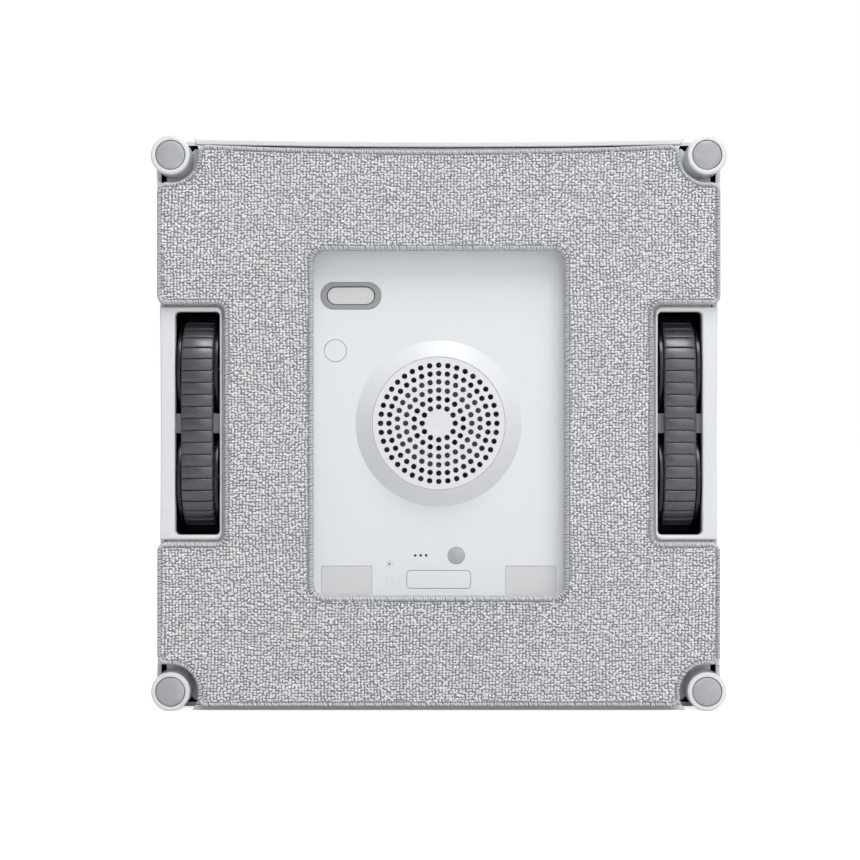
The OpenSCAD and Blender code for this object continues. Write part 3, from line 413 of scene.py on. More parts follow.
# The faces of these nodes keep their triangles, so that no hole is closed
PIERCED = {"exhaust_grille", "chassis"}


def mould(node, width, wide=None):
    """A copy of a node with rounded edges, those of a raised land more widely, which stands for the node"""
    mesh = frame["nodes"][node].data.copy()
    piece = bpy.data.objects.new(node + "_moulded", mesh)
    bpy.context.collection.objects.link(piece)
    edit(piece)
    select_all()
    bpy.ops.mesh.remove_doubles(threshold=WELD)
    bpy.ops.mesh.customdata_custom_splitnormals_clear()
    if node not in PIERCED:
        bpy.ops.mesh.dissolve_limited(angle_limit=math.radians(0.6))
    close()
    if wide:
        pick(piece, "EDGE", lambda e: e.is_manifold and e.calc_face_angle() > 1 and on_land(e))
        bpy.ops.mesh.bevel(offset=wide, segments=4, affect="EDGES", clamp_overlap=False)
        close()
    round_edges(piece, width)
    smooth(piece)
    applied(piece, "WEIGHTED_NORMAL", keep_sharp=True, weight=100)
    return hand_over(piece, body_of_node(node), NODE_SLOT[node], node)


# Finishes

class Bench:
    """A material's node tree, built from left to right"""

    def __init__(self, name):
        self.material = bpy.data.materials.new(name)
        self.material.use_nodes = True
        self.tree = self.material.node_tree
        self.surface = self.tree.nodes["Principled BSDF"]
        self.place = self.node("ShaderNodeTexCoord").outputs["Object"]

    def node(self, kind, **settings):
        made = self.tree.nodes.new(kind)
        for key, value in settings.items():
            setattr(made, key, value)
        return made

    def feed(self, made, **inputs):
        for key, value in inputs.items():
            socket = made.inputs[key.replace("_", " ")]
            if isinstance(value, bpy.types.NodeSocket):
                self.tree.links.new(value, socket)
            else:
                socket.default_value = value
        return made

    def paint(self, **inputs):
        self.feed(self.surface, **inputs)

    def noise(self, scale, detail=2.0, roughness=0.5, stretch=None):
        source = self.place
        if stretch:
            mapping = self.feed(self.node("ShaderNodeMapping"), Vector=source, Scale=stretch)
            source = mapping.outputs["Vector"]
        made = self.feed(self.node("ShaderNodeTexNoise"), Vector=source, Scale=scale, Detail=detail,
                         Roughness=roughness)
        return made.outputs["Fac"]

    def spread(self, value, low, high, start=0.35, end=0.65):
        made = self.feed(self.node("ShaderNodeMapRange"), Value=value, From_Min=start, From_Max=end,
                         To_Min=low, To_Max=high)
        return made.outputs["Result"]

    def blend(self, share, first, second):
        made = self.node("ShaderNodeMix", data_type="RGBA")
        for key, value in (("Factor", share), ("A", first), ("B", second)):
            sockets = [s for s in made.inputs if s.name == key and s.enabled]
            if isinstance(value, bpy.types.NodeSocket):
                self.tree.links.new(value, sockets[0])
            else:
                sockets[0].default_value = value
        return [s for s in made.outputs if s.enabled][0]

    def bump(self, height, distance):
        made = self.feed(self.node("ShaderNodeBump"), Height=height, Distance=distance, Strength=1.0)
        self.paint(Normal=made.outputs["Normal"])


def rgba(colour, share=1.0):
    return (*[min(1.0, c*share) for c in colour], 1.0)


def plastic(name, colour, roughness=0.4, grain=0.006*MM, grain_scale=2600, coat=0.0):
    """Moulded plastic: a fine eroded grain, slow drifts of shade and patches of polish"""
    bench = Bench(name)
    drift = bench.spread(bench.noise(12, 2), 0, 1)
    polish = bench.spread(bench.noise(60, 2), roughness - 0.015, roughness + 0.02)
    bench.paint(Base_Color=bench.blend(drift, rgba(colour, 0.985), rgba(colour, 1.01)),
                Roughness=polish, Coat_Weight=coat)
    bench.bump(bench.noise(grain_scale, 2, 0.5), grain)
    return bench.material


def metal(name, colour, roughness=0.3, brushed=(1, 1, 1)):
    """Bare metal with fine tool marks"""
    bench = Bench(name)
    marks = bench.noise(900, 4, 0.6, brushed)
    bench.paint(Metallic=1, Base_Color=bench.blend(marks, rgba(colour, 0.85), rgba(colour)),
                Roughness=bench.spread(marks, roughness - 0.08, roughness + 0.1))
    bench.bump(marks, 0.004*MM)
    return bench.material


def rubber(name, colour, roughness=0.5, gloss=0.5):
    """Silicone rubber: a dry skin with dusty patches and a fine grain"""
    bench = Bench(name)
    dust = bench.spread(bench.noise(75, 5, 0.65), 0, 1, 0.42, 0.75)
    polish = bench.spread(dust, roughness - 0.05, roughness + 0.14, 0, 1)
    bench.paint(Base_Color=bench.blend(dust, rgba(colour, 0.92), rgba(colour, 1.25)), Roughness=polish,
                Specular_IOR_Level=gloss)
    bench.bump(bench.noise(3200, 3, 0.7), 0.012*MM)
    return bench.material


def yarn(name, colour, dark):
    """Looped microfibre: each loop has its own shade, and its fibres fray the light"""
    bench = Bench(name)
    tint = bench.node("ShaderNodeAttribute", attribute_name="tint").outputs["Fac"]
    blotch = bench.spread(bench.noise(140, 4, 0.6), 0, 1, 0.3, 0.7)
    pale = bench.blend(tint, rgba(colour, 0.88), rgba(colour, 1.07))
    bench.paint(Base_Color=bench.blend(blotch, dark, pale), Roughness=0.95, Sheen_Weight=0.25,
                Sheen_Roughness=0.5)
    bench.bump(bench.noise(5200, 3, 0.7, (1, 1, 0.4)), 0.05*MM)
    return bench.material


def woven(name, colour, pitch):
    """Plain woven cloth"""
    bench = Bench(name)
    threads = []
    for direction in ("X", "Z"):
        wave = bench.feed(bench.node("ShaderNodeTexWave", bands_direction=direction), Vector=bench.place,
                          Scale=1/(pitch*math.pi), Distortion=0.6, Detail=2.0)
        threads.append(wave.outputs["Fac"])
    weave = bench.node("ShaderNodeMath", operation="MULTIPLY")
    for socket, thread in zip(weave.inputs, threads):
        bench.tree.links.new(thread, socket)
    cloth = weave.outputs["Value"]
    bench.paint(Base_Color=bench.blend(cloth, rgba(colour, 0.8), rgba(colour)), Roughness=0.9)
    bench.bump(cloth, 0.1*MM)
    return bench.material


def hook_tape(name, colour):
    """Hook tape: rows of tiny stiff hooks"""
    bench = Bench(name)
    dots = bench.feed(bench.node("ShaderNodeTexVoronoi"), Vector=bench.place, Scale=900).outputs["Distance"]
    bench.paint(Base_Color=bench.blend(dots, rgba(colour), rgba(colour, 0.6)), Roughness=0.6)
    bench.bump(dots, -0.3*MM)
    return bench.material


def milky(name, colour):
    """Milky plastic that lets some light in"""
    bench = Bench(name)
    cloud = bench.spread(bench.noise(60, 4), 0, 1)
    bench.paint(Base_Color=bench.blend(cloud, rgba(colour, 0.93), rgba(colour)), Roughness=0.28,
                Subsurface_Weight=0.35, Subsurface_Scale=2*MM)
    bench.bump(bench.noise(1800, 2), 0.004*MM)
    return bench.material


def make_finish(slot):
    """The material of one of the record's slots"""
    tone = bpy.context.scene.robot_colours
    made = {
        "shell_white": lambda n: plastic(n, tone.shell, 0.32, coat=0.1),
        "panel_white": lambda n: plastic(n, tone.panel, 0.42, 0.008*MM),
        "fine_grille": lambda n: plastic(n, tone.shell, 0.38),
        "light_grey_plastic": lambda n: plastic(n, tone.light_grey, 0.42, 0.008*MM),
        "mid_grey_plastic": lambda n: plastic(n, tone.mid_grey, 0.45, 0.01*MM),
        "roller_white": lambda n: plastic(n, tone.shell, 0.35, coat=0.15),
        "sensor_grey": lambda n: rubber(n, tone.cap, 0.36),
        "belt_rubber": lambda n: rubber(n, tone.belt, 0.32, 1.0),
        "wheel_plastic": lambda n: plastic(n, tone.wheel, 0.22, 0.004*MM),
        "case_black": lambda n: plastic(n, (0.008, 0.008, 0.009), 0.45, 0.015*MM, 1500),
        "cloth": lambda n: yarn(n, tone.cloth, rgba(tone.cloth, 0.88)),
        "backing": lambda n: woven(n, tone.light_grey, 0.5*MM),
        "hook_tape": lambda n: hook_tape(n, (0.6, 0.61, 0.62)),
        "steel": lambda n: metal(n, (0.55, 0.56, 0.58), 0.32, (1, 0.08, 1)),
        "brass": lambda n: metal(n, (0.62, 0.43, 0.16), 0.3),
        "motor_can": lambda n: metal(n, (0.3, 0.31, 0.33), 0.35, (0.1, 1, 1)),
        "gasket_rubber": lambda n: rubber(n, (0.02, 0.02, 0.021), 0.8),
        "circuit": lambda n: plastic(n, (0.03, 0.15, 0.07), 0.35, 0.02*MM, 700),
        "cells": lambda n: plastic(n, (0.05, 0.12, 0.26), 0.3, 0.012*MM, 500),
        "tank_clear": lambda n: milky(n, (0.5, 0.6, 0.68)),
        "glow_ring": lambda n: milky(n, (0.6, 0.78, 0.88)),
    }
    return made[slot](slot + "_finish")


def finish_of(slot):
    """A slot's finish, made once; the frame's own plain materials bear the bare names of the slots"""
    return bpy.data.materials.get(slot + "_finish") or make_finish(slot)


# Outer shell

def shell_ring(sizes, depth, inset):
    """The shell's outline at a depth, drawn in by an inset"""
    roller_r = (ROLLER_HIGH.x - ROLLER_LOW.x)/2
    ear = SHELF + sizes.ear_wall
    straight = BODY_D - sizes.edge_r
    lean = 1 - min(1, max(0, (depth - RIM)/(ear - RIM)))
    swell = ease(min(1, max(0, (depth - ear)/(straight - ear))))
    x = HALF_W - sizes.side_lean*lean - sizes.side_sag*swell - inset
    top = HALF_H - sizes.top_lean*lean - sizes.top_sag*swell - inset
    low = inset - HALF_H
    r = max(MM, mix(roller_r, sizes.corner_r, swell) - inset)
    sag_x = sizes.side_sag*(1 - swell)
    sag_y = sizes.top_sag*(1 - swell)
    steps = sizes.steps
    return [at(p[0], p[1], depth) for p in (
        arc((x - r, low + r), r, -90, 0, steps) + sagged((x, low + r), (x, top - r), sag_x, steps)
        + arc((x - r, top - r), r, 0, 90, steps) + sagged((x - r, top), (r - x, top), sag_y, steps)
        + arc((r - x, top - r), r, 90, 180, steps) + sagged((-x, top - r), (-x, low + r), sag_x, steps)
        + arc((r - x, low + r), r, 180, 270, steps) + sagged((r - x, low), (x - r, low), 0, steps))]


def shell_rings(sizes, start, inset):
    """Rings from the rim over the sides and round the edge to the back"""
    ear = SHELF + sizes.ear_wall
    straight = BODY_D - sizes.edge_r
    r = sizes.edge_r - inset
    sides = [start, mix(RIM, ear, 0.5)]
    sides += [mix(ear, straight, i/sizes.steps) for i in range(sizes.steps + 1)]
    rings = [shell_ring(sizes, depth, inset) for depth in sides]
    for i in range(1, sizes.steps + 1):
        a = FULL/4*i/sizes.steps
        flat = shell_ring(sizes, straight, inset + r*(1 - math.cos(a)))
        rings.append([p + Vector((0, r*math.sin(a), 0)) for p in flat])
    return rings


class ROBOT_OT_shell(Operator):
    """Moulds the outer shell"""
    bl_idname = "robot.shell"
    bl_label = "Outer shell"

    def execute(self, context):
        sizes = context.scene.robot_shell
        shell = loft("shell_moulding", shell_rings(sizes, RIM, 0))
        inside = loft("shell_inside", shell_rings(sizes, RIM - 2*MM, sizes.wall))
        roller = (ROLLER_LOW + ROLLER_HIGH)/2
        notch = ROLLER_HIGH.x - roller.x + sizes.notch_gap
        up = roller.z - HALF_H
        cutters = [inside]
        cutters += [drill((x*roller.x, y*up), -MM, SHELF, notch) for x in (-1, 1) for y in (-1, 1)]
        for node, gap in BACK_OPENINGS.items():
            low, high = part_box(node)
            middle = (low + high)/2
            cutters.append(drill((middle.x, middle.z - HALF_H), BODY_D - 4*MM, BODY_D + MM,
                                 (high.x - low.x)/2 + gap))
        low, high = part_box("spray_nozzles")
        cutters.append(add(bpy.ops.mesh.primitive_cylinder_add, "cutter", vertices=48, radius=NOZZLE_R,
                           depth=2*HALF_W + 20*MM, location=(0, (low.y + high.y)/2, (low.z + high.z)/2),
                           rotation=(0, FULL/4, 0)))
        cut(shell, cutters)
        round_edges(shell, sizes.fillet, 3, 40)
        smooth(shell, 32)
        applied(shell, "WEIGHTED_NORMAL", keep_sharp=True, weight=100)
        hand_over(shell, "root", "shell_white", "outer_shell")
        return {"FINISHED"}


# Cleaning pad

def pad_corner(sizes, x, top, roller):
    """One corner of the pad, drawn for the top right: a round end, the hollow and another round end"""
    reach = sizes.notch_r + sizes.end_r
    low = (x - sizes.end_r, roller[1] - math.sqrt(reach**2 - (x - sizes.end_r - roller[0])**2))
    high = (roller[0] - math.sqrt(reach**2 - (top - sizes.end_r - roller[1])**2), top - sizes.end_r)
    to_low = math.degrees(math.atan2(low[1] - roller[1], low[0] - roller[0]))
    to_high = math.degrees(math.atan2(high[1] - roller[1], high[0] - roller[0]))
    if to_high > 0:
        to_high -= 360
    return (arc(low, sizes.end_r, 0, to_low + 180, 8) + arc(roller, sizes.notch_r, to_low, to_high, 24)
            + arc(high, sizes.end_r, to_high + 180, 90, 8))


def flip(points, x, y):
    """An outline mirrored, with its direction kept"""
    made = [(x*p[0], y*p[1]) for p in points]
    return made if x*y > 0 else made[::-1]


def pad_outlines(sizes):
    """The pad's outer edge, against the clock, and its window's edge, with the clock"""
    roller = (ROLLER_LOW + ROLLER_HIGH)/2
    centre = (roller.x, roller.z - HALF_H)
    x = PAD_HIGH.x
    up = pad_corner(sizes, x, PAD_HIGH.z - HALF_H, centre)
    down = pad_corner(sizes, x, HALF_H - PAD_LOW.z, centre)
    cut_out = (fillet((x, -CUT_Y - MM), (x, -CUT_Y), (CUT_X, -CUT_Y), sizes.end_r)
               + fillet((x, -CUT_Y), (CUT_X, -CUT_Y), (CUT_X, CUT_Y), sizes.cut_r)
               + fillet((CUT_X, -CUT_Y), (CUT_X, CUT_Y), (x, CUT_Y), sizes.cut_r)
               + fillet((CUT_X, CUT_Y), (x, CUT_Y), (x, CUT_Y + MM), sizes.end_r))
    right = flip(down, 1, -1) + cut_out + up
    left = flip(up, -1, 1) + flip(cut_out, -1, 1) + flip(down, -1, -1)
    outer = right + sagged(right[-1], left[0], sizes.top_sag, 40) + left
    w, h, r = WINDOW_X, WINDOW_Y, sizes.window_r
    window = (arc((w - r, r - h), r, 0, -90, 8) + arc((r - w, r - h), r, -90, -180, 8)
              + arc((r - w, h - r), r, 180, 90, 8) + arc((w - r, h - r), r, 90, 0, 8))
    return outer, window


def walk(points, pitch):
    """Even steps along a closed outline: each a place and a direction"""
    corners = [Vector(p) for p in points + points[:1]]
    corners = [corners[0]] + [q for p, q in zip(corners, corners[1:]) if (q - p).length > 1e-7]
    reach = [0.0]
    for p, q in zip(corners, corners[1:]):
        reach.append(reach[-1] + (q - p).length)
    count = round(reach[-1]/pitch)
    made = []
    leg = 0
    for i in range(count):
        s = reach[-1]*i/count
        while reach[leg + 1] < s:
            leg += 1
        along = (corners[leg + 1] - corners[leg]).normalized()
        made.append((corners[leg] + along*(s - reach[leg]), along))
    return made


class Edge:
    """Nearness of a point to the pad's edges"""

    def __init__(self, outlines):
        self.outlines = outlines
        self.spots = [spot for outline in outlines for spot, along in walk(outline, 0.25*MM)]
        self.tree = kdtree.KDTree(len(self.spots))
        for i, spot in enumerate(self.spots):
            self.tree.insert((*spot, 0), i)
        self.tree.balance()

    def nearest(self, x, y):
        spot, index, gap = self.tree.find((x, y, 0))
        return spot, gap

    def inside(self, xs, ys):
        """Which of many points lie on the cloth"""
        hit = np.zeros(len(xs), bool)
        for outline in self.outlines:
            for (ax, ay), (bx, by) in zip(outline, outline[1:] + outline[:1]):
                if ay != by:
                    crosses = (ys < ay) != (ys < by)
                    hit ^= crosses & (xs < (bx - ax)*(ys - ay)/(by - ay) + ax)
        return hit


def open_window(piece, edge):
    """Takes away the faces that a fill has laid across the pad's window"""
    mesh = edit(piece, "FACE")
    select_all("DESELECT")
    middles = np.array([face.calc_center_median() for face in mesh.faces])
    xs, ys = middles[:, 0], middles[:, 2] - HALF_H
    near = np.flatnonzero((abs(xs) < WINDOW_X + MM) & (abs(ys) < WINDOW_Y + MM))
    on_cloth = edge.inside(xs[near], ys[near])
    mesh.faces.ensure_lookup_table()
    for index in near[~on_cloth]:
        mesh.faces[index].select_set(True)
    bmesh.update_edit_mesh(piece.data)
    bpy.ops.mesh.delete(type="FACE")


def pad_ground(sizes, edge):
    """The ground cloth: a fine grid cut to the outline, rolled over at its edges and closed behind"""
    nx = round((PAD_HIGH.x - PAD_LOW.x)/sizes.cell)
    ny = round((PAD_HIGH.z - PAD_LOW.z)/sizes.cell)
    ground = add(bpy.ops.mesh.primitive_grid_add, "pad_looped_cloth", x_subdivisions=nx, y_subdivisions=ny,
                 size=1)
    grid = np.array([v.co for v in ground.data.vertices])
    xs = mix(PAD_LOW.x, PAD_HIGH.x, grid[:, 0] + 0.5)
    ys = mix(PAD_LOW.z, PAD_HIGH.z, grid[:, 1] + 0.5) - HALF_H
    inside = edge.inside(xs, ys)
    gaps = [edge.nearest(x, y) for x, y in zip(xs, ys)]
    gone = []
    for vertex, x, y, within, (spot, gap) in zip(ground.data.vertices, xs, ys, inside, gaps):
        if not within and gap > 0.35*sizes.cell:
            gone.append(vertex.index)
        elif gap < 0.5*sizes.cell:
            x, y, gap = spot[0], spot[1], 0
        roll = 1 - min(1, gap/(0.9*sizes.hem))
        vertex.co = at(x, y, sizes.ground + (1 - math.sqrt(1 - roll*roll))*HEM_ROLL)
    gone = set(gone)
    pick(ground, "VERT", lambda v: v.index in gone)
    bpy.ops.mesh.delete(type="VERT")
    mesh = bmesh.from_edit_mesh(ground.data)
    for vertex in mesh.verts:
        if vertex.is_boundary:
            spot, gap = edge.nearest(vertex.co.x, vertex.co.z - HALF_H)
            vertex.co = at(spot[0], spot[1], sizes.ground + HEM_ROLL)
    bmesh.update_edit_mesh(ground.data)
    bpy.ops.mesh.select_mode(type="EDGE")
    select_all("DESELECT")
    bpy.ops.mesh.select_non_manifold(extend=False)
    bpy.ops.mesh.extrude_region_move()
    mesh = bmesh.from_edit_mesh(ground.data)
    for vertex in mesh.verts:
        if vertex.select:
            vertex.co.y = PAD_HIGH.y
    bmesh.update_edit_mesh(ground.data)
    bpy.ops.mesh.fill(use_beauty=False)
    open_window(ground, edge)
    close()
    outward(ground)
    ground.data.attributes.new("tint", "FLOAT", "POINT")
    return ground


def arch(name, thickness, rings):
    """A bow of yarn, one unit to each side and one unit high: half of a ring with closed ends"""
    sides = 6
    bow = add(bpy.ops.mesh.primitive_torus_add, name, major_radius=1, minor_radius=thickness/2,
              major_segments=rings, minor_segments=sides, rotation=(FULL/4, 0, 0))
    pick(bow, "VERT", lambda v: v.co.z < -0.01)
    bpy.ops.mesh.delete(type="VERT")
    select_all()
    bpy.ops.mesh.fill_holes(sides=sides)
    bpy.ops.mesh.normals_make_consistent(inside=False)
    close()
    return bow


def bow_place(x, y, depth, along, lean, width, height):
    """Where a bow stands on the face: it spans along a direction, leans over and rises towards the glass"""
    out = Vector((0, -1, 0))
    span = Vector((along[0], 0, along[1]))
    rise = Matrix.Rotation(lean, 3, span) @ out
    across = rise.cross(span)
    turn = Matrix((span*width, across*width, rise*height)).transposed().to_4x4()
    return Matrix.Translation(at(x, y, depth)) @ turn


def pad_loops(sizes, edge, draw):
    """The loops of the pile, in rows, each turned and leaning its own way"""
    rows = np.arange(PAD_LOW.z - HALF_H, PAD_HIGH.z - HALF_H, sizes.course)
    columns = np.arange(PAD_LOW.x, PAD_HIGH.x, sizes.wale)
    xs, ys = np.meshgrid(columns, rows)
    xs = xs.ravel()
    ys = ys.ravel()
    waves = [np.sin(xs/(17*MM) + 1.7*np.sin(ys/(23*MM))), np.sin(ys/(15*MM) + 1.4*np.sin(xs/(19*MM)))]
    sway = 0.5*MM
    xs = xs + sway*waves[1] + draw.normal(0, 0.1, len(xs))*sizes.wale
    ys = ys + sway*waves[0] + draw.normal(0, 0.15, len(ys))*sizes.course
    turns = np.where(draw.random(len(xs)) < 0.12, FULL/4, 0) + draw.normal(0, 0.22, len(xs))
    leans = draw.normal(0, 0.25, len(xs))
    widths = draw.uniform(0.7, 1.1, len(xs))*sizes.loop_r
    heights = draw.uniform(0.78, 1.0, len(xs))*(sizes.ground - 0.35*MM)*0.85
    inside = edge.inside(xs, ys)
    places = []
    for x, y, turn, lean, width, height, within in zip(xs, ys, turns, leans, widths, heights, inside):
        if within and edge.nearest(x, y)[1] > sizes.hem:
            along = (math.cos(turn), math.sin(turn))
            places.append(bow_place(x, y, sizes.ground + FOOT, along, lean, width, height))
    loops = many("pad_loops", arch("loop", sizes.yarn/sizes.loop_r, 8), places)
    tint_copies(loops, len(places), draw)
    return loops


def pad_overlock(sizes, edge, draw):
    """The overlocked edge: threads that wrap the hem, and a line of stitches along its inner side"""
    wraps = []
    runs = []
    for outline in edge.outlines:
        for spot, along in walk(outline, sizes.stitch):
            inward = Vector((-along.y, along.x))
            slant = Matrix.Rotation(draw.normal(0.28, 0.08), 2)
            middle = spot + inward*(0.5*sizes.hem + draw.normal(0, 0.05*MM))
            wraps.append(bow_place(middle.x, middle.y, PAD_HIGH.y - FRONT - 0.3*MM, slant @ inward,
                                   draw.normal(0, 0.04), 0.5*(sizes.hem - sizes.thread),
                                   WRAP_H*draw.uniform(0.93, 1.02)))
        for spot, along in walk(outline, 1.5*sizes.stitch):
            inward = Vector((-along.y, along.x))
            line = spot + inward*1.08*sizes.hem
            runs.append(bow_place(line.x, line.y, sizes.ground + FOOT, along, draw.normal(0, 0.1),
                                  0.42*sizes.stitch, RUN_H))
    wrap = many("wraps", arch("wrap", 2*sizes.thread/(sizes.hem - sizes.thread), 14), wraps)
    run = many("runs", arch("run", 1.5*sizes.thread/sizes.stitch, 10), runs)
    only(wrap)
    run.select_set(True)
    bpy.ops.object.join()
    wrap.name = wrap.data.name = "pad_overlock"
    return wrap


class ROBOT_OT_pad(Operator):
    """Sews the cleaning pad: ground cloth, loops, overlocked edge and backing"""
    bl_idname = "robot.pad"
    bl_label = "Cleaning pad"

    def execute(self, context):
        sizes = context.scene.robot_pad
        draw = np.random.default_rng(11)
        edge = Edge(pad_outlines(sizes))
        ground = pad_ground(sizes, edge)
        loops = pad_loops(sizes, edge, draw)
        ground.data.materials.append(cloth_ground_painted_shade())
        loops.data.materials.append(finish_of("cloth"))
        only(ground)
        loops.select_set(True)
        bpy.ops.object.join()
        bpy.ops.object.shade_smooth()
        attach(ground, "cleaning_pad")
        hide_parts("pad_cloth")
        overlock = pad_overlock(sizes, edge, draw)
        hand_over(overlock, "cleaning_pad", "cloth")
        overlock.data.materials[0] = overlock_thread()
        backing = flat_body("pad_backing_cloth", edge, BACKING_LOW.y - FRONT, BACKING_HIGH.y - FRONT)
        round_edges(backing, 0.2*MM)
        hand_over(smooth(backing), "cleaning_pad", "backing", "pad_backing")
        return {"FINISHED"}


def cloth_ground_painted_shade():
    """The knitted ground between the loops, painted darker as painted shade, since little light gets in
    between them
    """
    tone = bpy.context.scene.robot_colours
    bench = Bench("cloth_ground_painted_shade")
    knit = bench.noise(900, 4, 0.7, (1, 1, 0.55))
    # Its grey, darker than the loops, is painted shade between them; the knit noise varies it at random
    bench.paint(Base_Color=bench.blend(knit, rgba(tone.ground, 0.55), rgba(tone.ground, 1.4)),
                Roughness=0.95)
    bench.bump(knit, 0.4*MM)
    return bench.material


def overlock_thread():
    """Overlock thread with its fine ply"""
    tone = bpy.context.scene.robot_colours
    bench = Bench("overlock_thread")
    ply = bench.noise(2200, 3, 0.6)
    bench.paint(Base_Color=bench.blend(ply, rgba(tone.thread, 0.75), rgba(tone.thread, 1.15)),
                Roughness=0.85, Sheen_Weight=0.3)
    bench.bump(ply, 0.08*MM)
    return bench.material


def flat_body(name, edge, near, far):
    """A flat body of the pad's outline between two depths"""
    piece = add(bpy.ops.mesh.primitive_circle_add, name)
    mesh = edit(piece)
    mesh.clear()
    for outline in edge.outlines:
        corners = [mesh.verts.new(at(x, y, near)) for x, y in outline]
        for a, b in zip(corners, corners[1:] + corners[:1]):
            mesh.edges.new((a, b))
    bmesh.update_edit_mesh(piece.data)
    select_all()
    bpy.ops.mesh.remove_doubles(threshold=WELD)
    bpy.ops.mesh.fill(use_beauty=False)
    open_window(piece, edge)
    select_all()
    bpy.ops.mesh.dissolve_limited(angle_limit=math.radians(0.5))
    bpy.ops.mesh.extrude_region_move(TRANSFORM_OT_translate={"value": (0, far - near, 0)})
    select_all()
    bpy.ops.mesh.normals_make_consistent(inside=False)
    close()
    return piece


# Corner rollers

class ROBOT_OT_rollers(Operator):
    """Turns the four corner rollers and the caps of their edge sensors"""
    bl_idname = "robot.rollers"
    bl_label = "Corner rollers"

    def execute(self, context):
        for side in ("top_left", "top_right", "bottom_left", "bottom_right"):
            low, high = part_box(side + "_roller")
            middle = (low + high)/2
            centre = (middle.x, middle.z - HALF_H)
            r = (high.x - low.x)/2
            near, far = low.y - FRONT, high.y - FRONT
            bore = r - 2*MM
            ring = turned("roller_" + side, rounded_profile([
                (bore, near, 0.25*MM), (r, near, 0.95*MM), (r, far, 0.7*MM), (bore, far, 0)]), centre, 96)
            hand_over(smooth(ring, 40), side + "_roller", "roller_white", side + "_roller")
            low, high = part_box(side + "_plunger")
            r = (high.x - low.x)/2
            near, far = low.y - FRONT, high.y - FRONT
            rise, stem, bevel = 0.9*MM, 3*MM, 0.3*MM
            dome = [(r*math.sin(FULL/4*i/8), near + rise*(1 - math.cos(FULL/4*i/8))) for i in range(8)]
            cap = turned("sensor_cap_" + side, dome + [
                (r, near + 1.1*MM), (r, near + 2*MM), (stem, near + 2*MM), (stem, far - bevel),
                (stem - bevel, far), (0, far)], centre)
            hand_over(smooth(cap, 40), side + "_plunger", "sensor_grey", side + "_plunger")
        return {"FINISHED"}


# Tracks

def loop_place(sizes, s, r, out_r):
    """Place and outward direction on the belt's loop, at a distance along its face"""
    run = sizes.wheel_spacing
    bend = math.pi*out_r
    half = run/2
    if s < run:
        return (s - half, r), (0, 1)
    if s < run + bend:
        a = FULL/4 - math.pi*(s - run)/bend
        return (half + r*math.cos(a), r*math.sin(a)), (math.cos(a), math.sin(a))
    if s < 2*run + bend:
        return (half - (s - run - bend), -r), (0, -1)
    a = 3*FULL/4 - math.pi*(s - 2*run - bend)/bend
    return (r*math.cos(a) - half, r*math.sin(a)), (math.cos(a), math.sin(a))


def tread_block(sizes, wide, pitch):
    """One block of the belt: a bar with chamfered shoulders and soft edges, sunk a little into the band"""
    sunk = 0.4*MM
    block = add(bpy.ops.mesh.primitive_cube_add, "block", size=1)
    for vertex in block.data.vertices:
        vertex.co = Vector((vertex.co.x*wide, vertex.co.y*(pitch - sizes.groove),
                            (vertex.co.z - 0.5)*(sizes.block_h + sunk)))
    pick(block, "EDGE",
         lambda e: all(v.co.z > -MM/10 for v in e.verts) and e.verts[0].co.x*e.verts[1].co.x > 0)
    bpy.ops.mesh.bevel(offset=sizes.shoulder, segments=2, affect="EDGES")
    select_all("DESELECT")
    close()
    applied(block, "BEVEL", width=0.42*MM, segments=3, limit_method="ANGLE", angle_limit=math.radians(50))
    return block


class ROBOT_OT_belts(Operator):
    """Builds the two belts: a band with blocks across it"""
    bl_idname = "robot.belts"
    bl_label = "Belts"

    def execute(self, context):
        sizes = context.scene.robot_track
        for side in ("left", "right"):
            low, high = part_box(side + "_belt")
            middle = (low + high)/2
            wide = high.x - low.x
            out_r = (high.y - low.y)/2
            whole = 2*sizes.wheel_spacing + FULL*out_r
            pitch = whole/sizes.blocks
            places = []
            for i in range(sizes.blocks):
                (along, away), (ox, oy) = loop_place(sizes, (i + 0.5)*pitch, out_r, out_r)
                out = Vector((0, -oy, ox))
                across = Vector((1, 0, 0))
                turn = Matrix((across, out.cross(across), out)).transposed().to_4x4()
                places.append(Matrix.Translation((middle.x, middle.y - away, middle.z + along)) @ turn)
            blocks = many(side + "_blocks", tread_block(sizes, wide, pitch), places)
            steps = 180
            mid_r = out_r - sizes.block_h - sizes.band/2
            ring = [loop_place(sizes, whole*i/steps, mid_r, out_r)[0] for i in range(steps)]
            band = add(bpy.ops.mesh.primitive_circle_add, side + "_tread_belt", vertices=steps)
            for vertex, (along, away) in zip(band.data.vertices, ring):
                vertex.co = (middle.x - wide/2, middle.y - away, middle.z + along)
            edit(band)
            select_all()
            bpy.ops.mesh.extrude_region_move(TRANSFORM_OT_translate={"value": (wide, 0, 0)})
            close()
            applied(band, "SOLIDIFY", thickness=sizes.band, offset=0)
            round_edges(outward(band), 0.25*MM)
            only(band)
            blocks.select_set(True)
            bpy.ops.object.join()
            smooth(band, 30)
            hand_over(band, body_of_node(side + "_belt"), "belt_rubber", side + "_belt")
        return {"FINISHED"}


# Moulded parts that keep the shape of their node, with the rounding of their edges in millimetres

MOULDED = {
    "inlet_grille": 0.14, "suction_cone": 0.2, "suction_panel": 0.12, "switch_bezel": 0.25,
    "power_switch": 0.3, "service_hatch": 0.18, "screw_cover": 0.15, "port_plug": 0.15,
    "corner_pads": 0.1, "belt_bridges": 0.3, "left_drive_wheel": 0.25, "right_drive_wheel": 0.25,
    "left_idler_wheel": 0.25, "right_idler_wheel": 0.25,
    "exhaust_grille": 0.2, "start_button": 0.35, "filler_plug": 0.4, "power_inlet": 0.3,
    "tether_anchor": 0.4, "spray_nozzles": 0.2, "light_ring": 0.15, "fan_impeller": 0.15,
}


